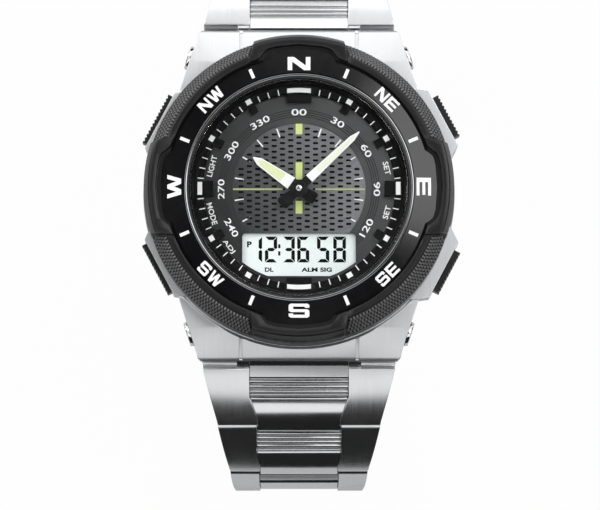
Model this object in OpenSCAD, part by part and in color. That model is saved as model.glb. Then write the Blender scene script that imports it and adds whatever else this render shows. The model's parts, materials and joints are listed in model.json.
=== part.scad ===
// Sports watch with a compass bezel, a hand and number display, and a steel link bracelet.
// Dial faces +Z, 12 o'clock is +Y, 3 o'clock is +X. The origin is the middle of the case back's outer face.
// The bracelet is drawn closed, as it goes round a wrist.

/* [Bezel and glass] */
// height of the bezel's upright outer wall above its underside
bezel_wall = 4.2; // [3:0.1:5]
// radial width of the textured slope
slope_w = 2.1; // [1.7:0.1:2.7]
// radial width of the smooth ring inside the slope
ring_w = 1.05; // [0.9:0.05:1.6]
// width of the dark groove between the smooth ring and the compass insert's face
insert_gap = 0.43; // [0.2:0.01:0.6]
// outer radius of the compass insert's face
insert_r = 19.72; // [19.3:0.01:20.1]
// thickness of the compass insert at its rim
insert_t = 0.3; // [0.2:0.05:0.5]
// angle at which the compass insert's face falls outwards
insert_fall = 5; // [0:0.5:8]
// half angle that each of the four guards covers
guard_half = 17; // [12:1:20]
// height of the guards above the smooth ring
guard_rise = 0.5; // [0.2:0.1:1]
// diameter of the glass
glass_d = 33.2; // [32:0.1:34]
// thickness of the glass
glass_t = 1; // [0.6:0.1:1.6]
// radial thickness of the gasket round the glass
gasket_w = 0.3; // [0.2:0.05:0.5]

/* [Case] */
// how far the case shows outside the bezel ring
case_rim = 0.4; // [0.2:0.05:1]
// height of the deck under the bezel
deck_z = 4.8; // [4:0.1:6]
// underside of the case middle above the case back's outer face
case_z0 = 0.8; // [0.4:0.1:1.4]
// outside diameter of the case back
back_d = 39; // [36:0.5:42]
// thickness of the case back
back_t = 1.4; // [1:0.1:2]
// diameter of the bore for the movement
bore_d = 32; // [30:0.1:33]
// radial wall of the neck beside the glass gasket
neck_w = 0.4; // [0.3:0.05:0.8]
// extra radial wall of the neck where the bezel turns on it
neck_step = 0.7; // [0.4:0.05:1]
// how far each end face stands out beyond the round of the case
end_reach = 1.7; // [1.2:0.1:3]
// half width of the case at its end faces
end_half = 15.4; // [14:0.1:16]
// height of the top edge at the end faces
end_z = 3.9; // [3.2:0.1:4.4]
// half width of the case ends where they leave the bezel
waist_half = 18.2; // [17:0.1:19]
// half width of the raised middle of each end
rib_half = 8.6; // [7:0.1:10]
// diameter of the round screw heads on the flanks
flank_head_d = 3.9; // [2.5:0.1:4.2]

/* [Dial and hands] */
// height of the dial's face above the case back's outer face
dial_z = 9.2; // [8.8:0.1:9.6]
// thickness of the dial
dial_t = 0.5; // [0.3:0.05:0.7]
// radius of the textured middle of the dial
texture_r = 10.05; // [9:0.05:10.5]
// length of the minute hand
minute_len = 12.5; // [10:0.1:13]
// length of the hour hand
hour_len = 8.5; // [7:0.1:10]
// length of the minute hand's tail behind the centre
minute_tail = 3.75; // [2:0.05:4.5]
// length of the hour hand's tail behind the centre
hour_tail = 3; // [2:0.05:4]
// minute hand, degrees past 12 o'clock
minute_at = 46.7; // [0:0.1:360]
// hour hand, degrees past 12 o'clock
hour_at = 304.5; // [0:0.1:360]
// half width of the display window
window_half = 8.55; // [7:0.05:9]
// distance from the centre to the window's upper edge
window_top = 6.7; // [6:0.1:7.5]
// distance from the centre to the window's lower edge
window_low = 13.2; // [12.5:0.1:13.5]

/* [Pushers] */
// length of the right hand pusher caps along the case
right_cap_len = 7; // [5:0.1:8]
// length of the left hand pusher caps along the case
left_cap_len = 8.4; // [6:0.1:9]
// how far the right hand caps stand out beyond the round of the case
right_cap_rise = 2.2; // [1.8:0.05:2.6]
// how far the left hand caps stand out beyond the round of the case
left_cap_rise = 1.1; // [0.9:0.05:1.9]
// height of a pusher cap
cap_h = 2.4; // [1.8:0.1:2.5]
// height of a pusher's axis
push_z = 3.15; // [3.1:0.05:3.2]
// how far a pusher travels
push_travel = 0.7; // [0.4:0.1:0.8]
// diameter of a pusher's stem
stem_d = 1.8; // [1.2:0.1:2.2]

/* [Bracelet] */
// distance between the pins of a link
link_pitch = 8.6; // [8.2:0.1:9.6]
// distance from the case bar to the first link's far pin
first_pitch = 10.6; // [9.2:0.1:11]
// thickness of a link
link_t = 2.8; // [2.6:0.1:3.2]
// diameter of the hinge pins
pin_d = 1; // [0.8:0.05:1.2]
// diameter of the barrel of the first link, between the case ears
barrel_d = 3; // [2.6:0.1:3.2]
// half width of that barrel
barrel_half = 9.45; // [8:0.05:10]
// number of ridges on a centre piece
ridge_count = 4; // [3:1:5]
// distance between ridges
ridge_pitch = 0.8; // [0.6:0.05:0.9]
// distance from each end face in to its case bar
bar_in = 0.65; // [0.4:0.05:1.2]
// height of the case bars above the case back's outer face
bar_z = 1.5; // [1.4:0.1:2]

/* [Clasp] */
// half width of the clasp cover
cover_half = 9.9; // [9.6:0.1:11]
// sheet thickness of the clasp cover
cover_t = 1; // [0.7:0.1:1.2]
// thickness of the two folding blades
blade_t = 1; // [0.7:0.05:1]
// half width of the two folding blades
blade_half = 7.2; // [6.8:0.1:8]
// length of the middle blade between its two pins
fold_len = 28; // [24:1:32]
// length of the safety latch
latch_len = 9; // [7:0.5:12]

/* [Fits] */
// radial running clearance of the bezel, hands, pins and pushers
run_fit = 0.05; // [0.02:0.01:0.1]
// clearance between pieces that are seated together
seat_gap = 0.05; // [0.02:0.01:0.1]
// side clearance between moving neighbours
side_gap = 0.12; // [0.06:0.01:0.2]
// clearance of the bezel above the deck
deck_gap = 0.2; // [0.1:0.05:0.3]

/* [Hidden] */
$fn = 96;

steel = [0.74, 0.75, 0.76];
dark_steel = [0.45, 0.46, 0.47];
black = [0.08, 0.08, 0.09];
gloss = [0.03, 0.03, 0.04];
brass = [0.75, 0.6, 0.25];
green = [0.1, 0.35, 0.15];
pale = [0.8, 0.85, 0.83];
clear = [0.7, 0.85, 0.9, 0.4];

// head of the watch, from the same values
glass_r = glass_d / 2;
neck_r = glass_r + gasket_w + neck_w;
run_r = neck_r + neck_step;
ring_in = insert_r + insert_gap;
slope_r = ring_in + ring_w;
bezel_r = slope_r + slope_w;
case_r = bezel_r + case_rim;
case_end = case_r + end_reach;
bar_y = case_end - bar_in;
bore_r = bore_d / 2;
seat_r = glass_r + gasket_w;
track_in = glass_r - 2.15;
corner_rise = 0.8;
corner_r = 0.5;
shelf_z = dial_z - dial_t;
glass_z = dial_z + 1.8;
glass_top = glass_z + glass_t;
neck_top = glass_top + 0.1;
step_z = neck_top - 1.1;
bezel_z = deck_z + deck_gap;
insert_top = neck_top + 0.2;
insert_drop = (insert_r + 1.03 - neck_r) * tan(insert_fall);
insert_floor = insert_top - insert_drop - insert_t;
foot_t = 0.15;
ring_top = insert_top + 0.2;
slope_low = bezel_z + bezel_wall;
slope_top = ring_top - 0.3;
flank_half = end_half + 0.2;
flank_y1 = case_end - 1.4;
waist_y = case_end - 9.4;
flank_angle = atan((waist_half - flank_half) / (flank_y1 - waist_y));
flank_y = case_end - 4.2;
head_t = 0.55;
end_drop = 0.25;
groove_w = 0.5;
groove_drop = 0.65;
flank_z = 2.45;
back_r = back_d / 2;
back_screw_r = back_r - 1.5;
groove_r = bore_r + 0.9;
cord_r = 0.3;

// movement
holder_r = bore_r - 0.1;
board_z = back_t + 1.9;
board_t = 0.6;
holder_z = board_z + board_t + 0.1;
holder_top = shelf_z - seat_gap;
battery_t = 1.6;
battery_r = 10;
battery_y = -3;
battery_z = board_z - battery_t;
clip_t = 0.15;
clip_half = 2;
clip_reach = 1.2;
lcd_t = 1;
lcd_margin = 0.4;
coil_r = 1.1;
coil_len = 9;
coil_y = 11;
coil_z = holder_z + 1.6;
well_z = 6.2;
gear_m = 0.12;
cannon_teeth = 10;
wheel_teeth = 30;
leaf_teeth = 8;
hour_teeth = 32;
post_r = 0.33;
cannon_r = 0.6;
hour_tube_r = 1;
axle_y = gear_m * (cannon_teeth + wheel_teeth) / 2;
axle_r = 0.25;
cannon_z = well_z + 0.2;
hour_z = cannon_z + 1;
hour_hand_z = dial_z + 0.5;
minute_hand_z = dial_z + 1;
hand_t = 0.22;
hub_r = 1.3;
tail_half = 1.02;
tail_cut = 0.35;
hand_waist = 0.62;
hub_to_blade = 0.15;
point_len = 1.35;

// pushers
push_angle = 28;
stem_r = stem_d / 2;
pocket_in = case_r - 2.2;
right_cap_out = case_r + right_cap_rise;
left_cap_out = case_r + left_cap_rise;
cap_in = pocket_in + push_travel + 0.2;
clip_r = stem_r + 0.4;
clip_in = bore_r - 0.7;
groove_pitch = 0.62;
shoulder_half = right_cap_len / 2 + 1.25;
right_shoulder = right_cap_out - 1;
left_shoulder = left_cap_out - 0.75;

// bracelet
link_r = link_t / 2;
pin_r = pin_d / 2;
knuckle_r = pin_r + 0.6;
hollow_r = link_r + 0.1;
barrel_r = barrel_d / 2;
// how far each link leans below level while the bracelet is closed
lean = [20, 46, 80, 98, 122, 148, 172];
// half widths over the cheeks and over the centre pieces at each pin, from the case to the clasp
outer_half = [15, 12.25, 10.5, 10, 9.8, 9.6, 9.5, 9.4];
inner_half = [7.5, 6.4, 6.05, 6, 6, 6, 6, 6];
first_start = 1.4;
first_tie = first_start + 2.1;
tongue_r = 0.4;
tongue_y = 1.1;
tongue_z = -1.05;
strip_y = 0.5;
cheek_crown = 20;
dome_crown = 6;
tie_r = 0.45;
tie_z = -0.2;
function pitch(i) = i == 0 ? first_pitch : link_pitch;
function pin_at(i) = i == 0 ? [bar_y, bar_z]
  : pin_at(i - 1) + pitch(i - 1) * [cos(lean[i - 1]), -sin(lean[i - 1])];

// clasp, from the last pins
clasp_y = pin_at(7)[0];
clasp_z = pin_at(7)[1];
fold_y = 13.5;
fold_z = clasp_z - 0.25;
far_y = fold_y - fold_len;
far_z = clasp_z - 1.1;
base_low = clasp_z + 0.1;
middle_top = clasp_z - 0.6;
cover_in = far_z - knuckle_r - 0.2;
cover_out = cover_in - cover_t;
cover_y0 = -(clasp_y - 1.1);
cover_y1 = clasp_y - knuckle_r - 0.3;
cover_top = clasp_z + 0.9;
latch_r = 0.55;
latch_pin_y = cover_y0 + latch_len + 0.6;
latch_pin_z = cover_out - latch_r - 0.08;
latch_t = 0.7;
latch_lug = 2.2;
knuckle_half = 2.9;

// one ring, by its outer and inner radius and its lower and upper level
module ring(ro, ri, z0, z1) {
  translate([0, 0, z0])
    difference() {
      cylinder(r = ro, h = z1 - z0);
      translate([0, 0, -1]) cylinder(r = ri, h = z1 - z0 + 2);
    }
}

// a rod along X, by its radius and half length, at a place in Y and Z
module rod(r, half, y, z) {
  translate([-half, y, z]) rotate([0, 90, 0]) cylinder(r = r, h = 2 * half);
}

// a box that is even about X
module bar(half, y0, y1, z0, z1) {
  translate([-half, y0, z0]) cube([2 * half, y1 - y0, z1 - z0]);
}

module both_ends() {
  children();
  mirror([0, 1, 0]) children();
}

module both_sides() {
  children();
  mirror([1, 0, 0]) children();
}

// outline of the display window, grown by m
function arc_points(cx, cy, r, a0, a1, n) =
  [for (k = [0 : n]) let(a = a0 + (a1 - a0) * k / n) [cx + r * cos(a), cy + r * sin(a)]];
function lower_corner(m) = let(
  r = window_low + corner_rise + m,
  a0 = -acos(sqrt(pow(r, 2) - pow(window_low + m, 2)) / r),
  a1 = -acos((window_half + m) / r))
  arc_points(0, 0, r, a0, a1, 8);
function window_outline(m) = let(half = concat(lower_corner(m),
  arc_points(window_half - corner_r, -window_top - corner_r, corner_r + m, 0, 90, 6)))
  concat(half, [for (k = [len(half) - 1 : -1 : 0]) [-half[k][0], half[k][1]]]);

module window_plate(m, z0, z1) {
  translate([0, 0, z0]) linear_extrude(height = z1 - z0) polygon(window_outline(m));
}

// Head of the watch

module end_plan() {
  translate([0, 0, -1]) linear_extrude(height = 12)
    polygon([
      [-end_half + 0.5, case_end], [end_half - 0.5, case_end], [end_half, case_end - 0.5],
      [flank_half, flank_y1], [waist_half, waist_y], [waist_half, waist_y - 6],
      [-waist_half, waist_y - 6],
      [-waist_half, waist_y], [-flank_half, flank_y1], [-end_half, case_end - 0.5]]);
}

// side outline of a case end, drawn out along X
module end_body(half, drop) {
  translate([-half, 0, 0]) rotate([90, 0, 90]) linear_extrude(height = 2 * half)
    polygon([
      [waist_y - 6, case_z0], [case_end - 7.4, case_z0], [case_end - 4, 0.3], [case_end - 0.9, 0.3],
      [case_end, 1.2], [case_end, end_z - drop - 0.4], [case_end - 0.5, end_z - drop],
      [case_end - 4.8, deck_z - drop], [waist_y - 6, deck_z - drop]]);
}

module case_end_block() {
  intersection() {
    end_plan();
    union() {
      end_body(rib_half, 0);
      end_body(end_half + 3, groove_drop);
      difference() {
        end_body(end_half + 3, end_drop);
        bar(rib_half + groove_w, 0, case_end + 1, case_z0 - 1, deck_z + 1);
      }
    }
  }
}

// in a pusher's frame X runs outward along its axis
module at_pusher(side, up) {
  rotate([0, 0, side > 0 ? up * push_angle : 180 - up * push_angle]) children();
}

module shoulder(out, side, up) {
  translate([0, 0, case_z0 + 0.4]) linear_extrude(height = deck_z - case_z0 - 0.4)
    polygon([
      [out - 3.5, -shoulder_half - 1.6], [out - 2.2, -shoulder_half - 1.6], [out, -shoulder_half],
      [out, shoulder_half], [out - 2.2, shoulder_half + 1.6], [out - 3.5, shoulder_half + 1.6]]);
}

module pusher_pocket(len) {
  translate([pocket_in, -len / 2 - side_gap, push_z - cap_h / 2 - side_gap])
    cube([8, len + 2 * side_gap, cap_h + 2 * side_gap]);
  translate([bore_r - 3, 0, push_z]) rotate([0, 90, 0]) cylinder(r = stem_r + run_fit, h = pocket_in - bore_r + 4);
}

module flank_at() {
  translate([flank_half + (flank_y1 - flank_y) * tan(flank_angle), flank_y, flank_z])
    rotate([0, 0, flank_angle]) rotate([0, 90, 0]) children();
}

module case_middle() {
  color(steel)
    difference() {
      union() {
        translate([0, 0, case_z0]) cylinder(r1 = case_r - 2.2, r2 = case_r, h = 1.4);
        translate([0, 0, case_z0 + 1.4]) cylinder(r = case_r, h = deck_z - case_z0 - 1.7);
        translate([0, 0, deck_z - 0.3]) cylinder(r1 = case_r, r2 = case_r - 0.3, h = 0.3);
        translate([0, 0, deck_z - 1]) cylinder(r = run_r, h = step_z - deck_z + 1);
        translate([0, 0, step_z]) cylinder(r = neck_r, h = neck_top - step_z);
        both_ends() case_end_block();
        for (up = [-1, 1]) {
          at_pusher(1, up) shoulder(right_shoulder, 1, up);
          at_pusher(-1, up) shoulder(left_shoulder, -1, up);
        }
      }
      // movement, dial and glass
      translate([0, 0, back_t - 1]) cylinder(r = bore_r, h = shelf_z - back_t + 2);
      translate([0, 0, shelf_z]) cylinder(r = seat_r, h = neck_top - shelf_z + 1);
      // case back, its gasket and screws
      translate([0, 0, case_z0 - 2]) cylinder(r = back_r + seat_gap, h = back_t - case_z0 + 2);
      ring(groove_r + cord_r, groove_r - cord_r, back_t - 0.1, back_t + 2 * cord_r);
      for (a = [45 : 90 : 315]) rotate([0, 0, a])
        translate([back_screw_r, 0, back_t - 0.5]) cylinder(r = 0.75 + seat_gap, h = 2.4);
      // click spring under the bezel
      ring(run_r + 2.2, run_r + 0.4, deck_z - 0.4, deck_z + 0.1);
      // bars and barrels of the bracelet
      both_ends() {
        rod(pin_r + run_fit, barrel_half + 3, bar_y, bar_z);
        rod(barrel_r + side_gap, barrel_half + side_gap, bar_y, bar_z);
        bar(barrel_half + side_gap, bar_y, bar_y + 6, -2, bar_z);
        bar(barrel_half + side_gap, bar_y - barrel_r - side_gap, bar_y + 6, -2, bar_z);
        bar(barrel_half + side_gap, bar_y + 0.6, bar_y + 6, -2, bar_z + barrel_r - 0.2);
      }
      both_ends() both_sides() flank_at() translate([0, 0, -3]) cylinder(r = 0.7, h = 6);
      for (up = [-1, 1]) {
        at_pusher(1, up) pusher_pocket(right_cap_len);
        at_pusher(-1, up) pusher_pocket(left_cap_len);
      }
    }
}

module case_back() {
  color(steel)
    difference() {
      union() {
        translate([0, 0, 0]) cylinder(r1 = back_r - 0.5, r2 = back_r, h = 0.5);
        translate([0, 0, 0.5]) cylinder(r = back_r, h = back_t - 0.5);
      }
      for (a = [45 : 90 : 315]) rotate([0, 0, a]) translate([back_screw_r, 0, 0]) {
        translate([0, 0, -1]) cylinder(r = 0.75 + seat_gap, h = back_t + 2);
        translate([0, 0, -1]) cylinder(r = 1.25 + seat_gap, h = 1.75);
      }
    }
}

module case_back_gasket() {
  color(black)
    rotate_extrude() translate([groove_r, back_t + cord_r]) circle(r = cord_r);
}

module case_back_screws() {
  color(dark_steel)
    for (a = [45 : 90 : 315]) rotate([0, 0, a]) translate([back_screw_r, 0, 0])
      difference() {
        union() {
          translate([0, 0, 0.15]) cylinder(r = 1.25, h = 0.6);
          translate([0, 0, 0.7]) cylinder(r = 0.75, h = back_t + 1);
        }
        translate([-2, -0.15, -0.1]) cube([4, 0.3, 0.5]);
      }
}

module crystal() {
  color(clear)
    union() {
      translate([0, 0, glass_z]) cylinder(r = glass_r, h = glass_t - 0.25);
      translate([0, 0, glass_top - 0.25]) cylinder(r1 = glass_r, r2 = glass_r - 0.25, h = 0.25);
    }
}

module crystal_gasket() {
  color(black) ring(seat_r, glass_r, glass_z, glass_top - 0.1);
}

// a block on the chapter ring, from radius r0 to r1, w wide
module index_block(a, r0, r1, w, z1) {
  rotate([0, 0, a]) translate([-w / 2, r0, dial_z]) cube([w, r1 - r0, z1 - dial_z]);
}

module chapter_ring() {
  track_z = dial_z + 0.7;
  color(black)
    union() {
      rotate_extrude()
        polygon([
          [track_in, dial_z], [seat_r - seat_gap, dial_z], [seat_r - seat_gap, glass_z],
          [glass_r - 0.5, glass_z], [glass_r - 0.9, track_z], [track_in + 0.25, track_z],
          [track_in, track_z - 0.25]]);
      index_block(0, track_in - 1.35, track_in + 1.25, 3.8, track_z + 0.15);
      index_block(180, track_in - 0.9, track_in + 1.25, 3.8, track_z + 0.15);
      for (a = [90, 270]) index_block(a, track_in - 1.55, track_in + 1.05, 2.3, track_z + 0.15);
      for (a = [30, 60, 120, 240, 300, 330])
        index_block(a, track_in - 1.2, track_in + 0.35, 1.25, track_z - 0.1);
      for (a = [30, 60, 120, 150, 210, 240, 300, 330])
        index_block(a, track_in + 0.35, track_in + 1.15, 0.9, track_z + 0.15);
    }
}

module dial() {
  color([0.2, 0.2, 0.21])
    difference() {
      translate([0, 0, shelf_z]) cylinder(r = seat_r - seat_gap, h = dial_t);
      translate([0, 0, dial_z - 0.12]) cylinder(r = texture_r, h = 1);
      translate([0, 0, shelf_z - 1]) cylinder(r = hour_tube_r + 0.15, h = 3);
      window_plate(0, shelf_z - 1, dial_z + 1);
    }
}

module lcd_panel() {
  color(pale)
    window_plate(lcd_margin, shelf_z - seat_gap - lcd_t, shelf_z - seat_gap);
}

module pusher_room(z0, z1) {
  for (up = [-1, 1]) for (side = [-1, 1]) at_pusher(side, up)
    translate([clip_in - push_travel - 0.3, -clip_r - 0.3, z0]) cube([5, 2 * clip_r + 0.6, z1 - z0]);
}

module movement_holder() {
  color([0.85, 0.85, 0.8])
    union() {
      difference() {
        translate([0, 0, back_t + 0.1]) cylinder(r = holder_r, h = holder_top - back_t - 0.1);
        translate([0, 0, 0]) cylinder(r = holder_r - 0.5, h = holder_z);
        translate([0, 1, well_z]) cylinder(r = 4.6, h = 5);
        window_plate(lcd_margin + seat_gap, shelf_z - 2 * seat_gap - lcd_t, shelf_z + 1);
        translate([-coil_len / 2 - 0.8, coil_y - coil_r - 0.2, holder_z - 1])
          cube([coil_len + 1.6, 2 * coil_r + 0.4, 1 + coil_z - holder_z + coil_r + 0.2]);
        pusher_room(back_t, push_z + clip_r + 0.3);
      }
      translate([0, 0, well_z - 0.5]) cylinder(r = post_r, h = minute_hand_z + hand_t + 0.12 - well_z + 0.5);
      translate([0, axle_y, well_z - 0.5]) cylinder(r = axle_r, h = 2.4);
    }
}

module circuit_board() {
  color(green)
    difference() {
      translate([0, 0, board_z]) cylinder(r = holder_r - 0.6, h = board_t);
      pusher_room(board_z - 1, board_z + board_t + 1);
    }
}

module battery() {
  color(steel)
    translate([0, battery_y, 0])
      union() {
        translate([0, 0, battery_z]) cylinder(r = battery_r, h = battery_t - 0.3);
        translate([0, 0, battery_z + 0.2]) cylinder(r = battery_r - 1, h = battery_t - 0.2);
      }
}

module battery_clip() {
  color(dark_steel)
    difference() {
      bar(clip_half, battery_y - battery_r - clip_reach, battery_y + battery_r + clip_reach, battery_z - clip_t, board_z);
      translate([0, battery_y, battery_z]) cylinder(r = battery_r + 0.1, h = 2 * battery_t);
      bar(clip_half + 1, battery_y - battery_r - 0.2, battery_y + battery_r + 0.2, battery_z, board_z + 1);
    }
}

module motor_coil() {
  color(brass)
    union() {
      rod(coil_r, coil_len / 2, coil_y, coil_z);
      both_sides() translate([coil_len / 2 - 0.1, coil_y - 0.8, holder_z]) cube([0.6, 1.6, coil_z - holder_z + 0.6]);
    }
}

module lug_bars() {
  color(dark_steel) both_ends() rod(pin_r, barrel_half + 2.8, bar_y, bar_z);
}

module flank_screws() {
  color(steel)
    both_ends() both_sides() flank_at()
      difference() {
        union() {
          translate([0, 0, -2.8]) cylinder(r = 0.7, h = 3);
          cylinder(r1 = flank_head_d / 2, r2 = flank_head_d / 2 - 0.15, h = head_t);
        }
      }
}

module bezel_spring() {
  color(dark_steel)
    difference() {
      ring(run_r + 2, run_r + 0.6, deck_z - 0.4, deck_z - 0.15);
      translate([0, run_r, deck_z - 1]) cube([1.2, 8, 4], center = true);
    }
}

// one guard: a block over the slope and the smooth ring
module guard_plan() {
  polygon(concat(
    arc_points(0, 0, bezel_r + 0.1, 90 - guard_half, 90 + guard_half, 12),
    [[-7.5, ring_in - 2], [7.5, ring_in - 2]]));
}

// the bay inside a guard: outline of the insert's face, and of the bezel's cut round it
face_bay = [
  [-6.2, -2], [-5.6, -0.85], [-5.3, -0.35], [-4.8, 0.28], [-4.3, 0.55], [-3.25, 0.8], [0, 1.03],
  [3.25, 0.8], [4.3, 0.55], [4.8, 0.28], [5.3, -0.35], [5.6, -0.85], [6.2, -2]];
cut_bay = [
  [-6.9, -2], [-6.3, -0.75], [-5.9, -0.2], [-5.1, 0.85], [-4.6, 1.2], [-3.4, 1.52], [0, 1.85],
  [3.4, 1.52], [4.6, 1.2], [5.1, 0.85], [5.9, -0.2], [6.3, -0.75], [6.9, -2]];

module bay(points, z0, z1) {
  for (a = [0 : 90 : 270]) rotate([0, 0, a])
    translate([0, insert_r, z0]) linear_extrude(height = z1 - z0) polygon(points);
}

module bezel_ring() {
  guard_top = ring_top + guard_rise;
  color(black)
    difference() {
      union() {
        rotate_extrude()
          polygon([
            [run_r + run_fit, bezel_z], [bezel_r - 0.2, bezel_z], [bezel_r, bezel_z + 0.2],
            [bezel_r, slope_low - 0.25], [bezel_r - 0.2, slope_low], [slope_r, slope_top], [slope_r - 0.1, ring_top],
            [ring_in + 0.1, ring_top], [ring_in, ring_top - 0.1], [ring_in, insert_floor],
            [neck_r + run_fit, insert_floor], [neck_r + run_fit, step_z + 0.15],
            [run_r + run_fit, step_z + 0.15]]);
        intersection() {
          for (a = [0 : 90 : 270]) rotate([0, 0, a])
            translate([0, 0, bezel_z + 0.4]) linear_extrude(height = guard_top - bezel_z - 0.4) guard_plan();
          rotate_extrude()
            polygon([
              [ring_in, bezel_z], [bezel_r + 0.1, bezel_z], [bezel_r + 0.1, guard_top - 2],
              [bezel_r - 0.6, guard_top - 0.15], [bezel_r - 1.1, guard_top],
              [ring_in + 0.2, guard_top - 0.15], [ring_in, guard_top - 0.35]]);
        }
      }
      bay(cut_bay, insert_floor, guard_top + 1);
    }
}

module compass_insert() {
  inner = neck_r + run_fit + 0.05;
  outer = insert_r + 2;
  color(gloss)
    intersection() {
      union() {
        ring(ring_in - seat_gap, inner - 1, insert_floor, insert_floor + foot_t);
        ring(insert_r, inner - 1, insert_floor, insert_top);
        bay(face_bay, insert_floor, insert_top);
      }
      rotate_extrude() polygon([
        [inner, insert_floor], [outer, insert_floor],
        [outer, insert_top - (outer - inner) * tan(insert_fall)], [inner, insert_top]]);
    }
}

// outline of a hand that points to +Y
module hand_shape(len, tail, half) {
  linear_extrude(height = hand_t)
    union() {
      circle(r = hub_r);
      polygon([
        [-hand_waist, 0], [-tail_half, -tail + tail_cut], [-tail_half + tail_cut, -tail],
        [tail_half - tail_cut, -tail], [tail_half, -tail + tail_cut], [hand_waist, 0],
        [half, hub_r + hub_to_blade], [half * 0.6, len - point_len], [0.1, len],
        [-0.1, len], [-half * 0.6, len - point_len], [-half, hub_r + hub_to_blade]]);
    }
}

module minute_hand() {
  color(pale)
    rotate([0, 0, -minute_at]) translate([0, 0, minute_hand_z])
      difference() {
        hand_shape(minute_len, minute_tail, 0.7);
        translate([0, 0, -1]) cylinder(r = cannon_r, h = 3);
      }
}

module hour_hand() {
  color(pale)
    rotate([0, 0, -hour_at]) translate([0, 0, hour_hand_z])
      difference() {
        hand_shape(hour_len, hour_tail, 1.03);
        translate([0, 0, -1]) cylinder(r = hour_tube_r, h = 3);
      }
}

// flat gear with slim straight sided teeth, a tooth centred on +Y
function gear_points(n) = let(r = gear_m * n / 2, t = 360 / n)
  [for (k = [0 : n - 1]) let(a = 90 + k * t)
    each [for (p = [[r - 0.14, -0.31], [r, -0.215], [r + 0.1, -0.1], [r + 0.1, 0.1], [r, 0.215], [r - 0.14, 0.31]])
      [p[0] * cos(a + p[1] * t), p[0] * sin(a + p[1] * t)]]];

module gear(n, h) {
  linear_extrude(height = h) polygon(gear_points(n));
}

module cannon_pinion() {
  color(brass)
    difference() {
      union() {
        translate([0, 0, cannon_z]) gear(cannon_teeth, 0.55);
        translate([0, 0, cannon_z + 0.5]) cylinder(r = cannon_r, h = minute_hand_z + hand_t - cannon_z - 0.5);
      }
      translate([0, 0, cannon_z - 1]) cylinder(r = post_r + 0.03, h = 8);
    }
}

module minute_wheel() {
  color(brass)
    translate([0, axle_y, 0])
      difference() {
        union() {
          translate([0, 0, cannon_z + 0.05]) rotate([0, 0, 180 + 180 / wheel_teeth]) gear(wheel_teeth, 0.4);
          translate([0, 0, cannon_z + 0.4]) cylinder(r = 0.33, h = hour_z - cannon_z - 0.3);
          translate([0, 0, hour_z]) rotate([0, 0, 180]) gear(leaf_teeth, 0.45);
        }
        translate([0, 0, cannon_z - 1]) cylinder(r = axle_r + 0.02, h = 8);
      }
}

module hour_wheel() {
  color(brass)
    difference() {
      union() {
        translate([0, 0, hour_z + 0.05]) rotate([0, 0, 180 / hour_teeth]) gear(hour_teeth, 0.35);
        translate([0, 0, hour_z + 0.1]) cylinder(r = hour_tube_r, h = hour_hand_z + hand_t - hour_z - 0.1);
      }
      translate([0, 0, hour_z - 1]) cylinder(r = cannon_r + 0.03, h = 8);
    }
}

module pusher(side, up, len, out) {
  grooves = floor(len / 2 / groove_pitch - 0.4);
  color(black)
    at_pusher(side, up)
      union() {
        difference() {
          translate([cap_in, -len / 2, push_z - cap_h / 2]) cube([out - cap_in, len, cap_h]);
          for (k = [-grooves : grooves])
            translate([out - 0.15, k * groove_pitch - 0.15, push_z - cap_h]) cube([1, 0.3, 2 * cap_h]);
        }
        translate([clip_in, 0, push_z]) rotate([0, 90, 0]) cylinder(r = stem_r, h = cap_in - clip_in + 0.1);
        translate([clip_in + 0.1, 0, push_z]) rotate([0, 90, 0]) cylinder(r = clip_r, h = 0.35);
      }
}

module pusher_2h() pusher(1, 1, right_cap_len, right_cap_out);
module pusher_4h() pusher(1, -1, right_cap_len, right_cap_out);
module pusher_8h() pusher(-1, -1, left_cap_len, left_cap_out);
module pusher_10h() pusher(-1, 1, left_cap_len, left_cap_out);

// Bracelet
// in a link's own frame its near pin is at the origin, Y runs to its far pin, Z points out from the wrist

function ridge_start(i) = i == 0 ? first_start + 0.9 : 0.6;
function dome_start(i) = ridge_start(i) + ridge_count * ridge_pitch + 0.15;
function tie_at(i) = pitch(i) * 0.58;

// widths in plan: the centre piece stays even along its ridges and tapers along its dome
function centre_plan(i, m) = let(w0 = inner_half[i] + m, w1 = inner_half[i + 1] - side_gap + m, s = dome_start(i))
  [[-w0, -4], [w0, -4], [w0, s], [w1, pitch(i) - hollow_r], [w1, pitch(i) + 3],
   [-w1, pitch(i) + 3], [-w1, pitch(i) - hollow_r], [-w0, s]];
function cheek_plan(i) = let(w0 = outer_half[i], w1 = outer_half[i + 1], s = pitch(i), k = (w1 - w0) / s)
  [[-w0 + 2 * k, -2], [w0 - 2 * k, -2], [w1, s], [-w1, s]];

module plan(points) {
  translate([0, 0, -5]) linear_extrude(height = 10) polygon(points);
}

// a plate whose outer face is part of a cylinder: it stands at z1 at both ends, y0 and y1
module crowned(r, y0, y1, z0, z1) {
  intersection() {
    bar(16, y0, y1 + 1, z0, z1 + 2);
    rod(r, 17, (y0 + y1) / 2, z1 - sqrt(pow(r, 2) - pow((y1 - y0) / 2, 2)));
  }
}

module cheeks(i) {
  start = i == 0 ? first_start : 0;
  difference() {
    intersection() {
      union() {
        if (i > 0) rod(link_r, 16, start, 0);
        crowned(cheek_crown, start, pitch(i), -link_r, link_r);
        if (i == 0) rod(tongue_r, 16, tongue_y, tongue_z);
        if (i == 0) bar(16, tongue_y, start + 1, tongue_z - tongue_r, tongue_z + tongue_r);
      }
      plan(cheek_plan(i));
    }
    plan(centre_plan(i, seat_gap));
    rod(hollow_r, 17, pitch(i), 0);
    bar(17, pitch(i), pitch(i) + 2, -3, 3);
    translate([0, pitch(i) - 0.5, -link_r]) rotate([45, 0, 0]) cube([34, 0.9, 0.9], center = true);
  }
}

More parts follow.
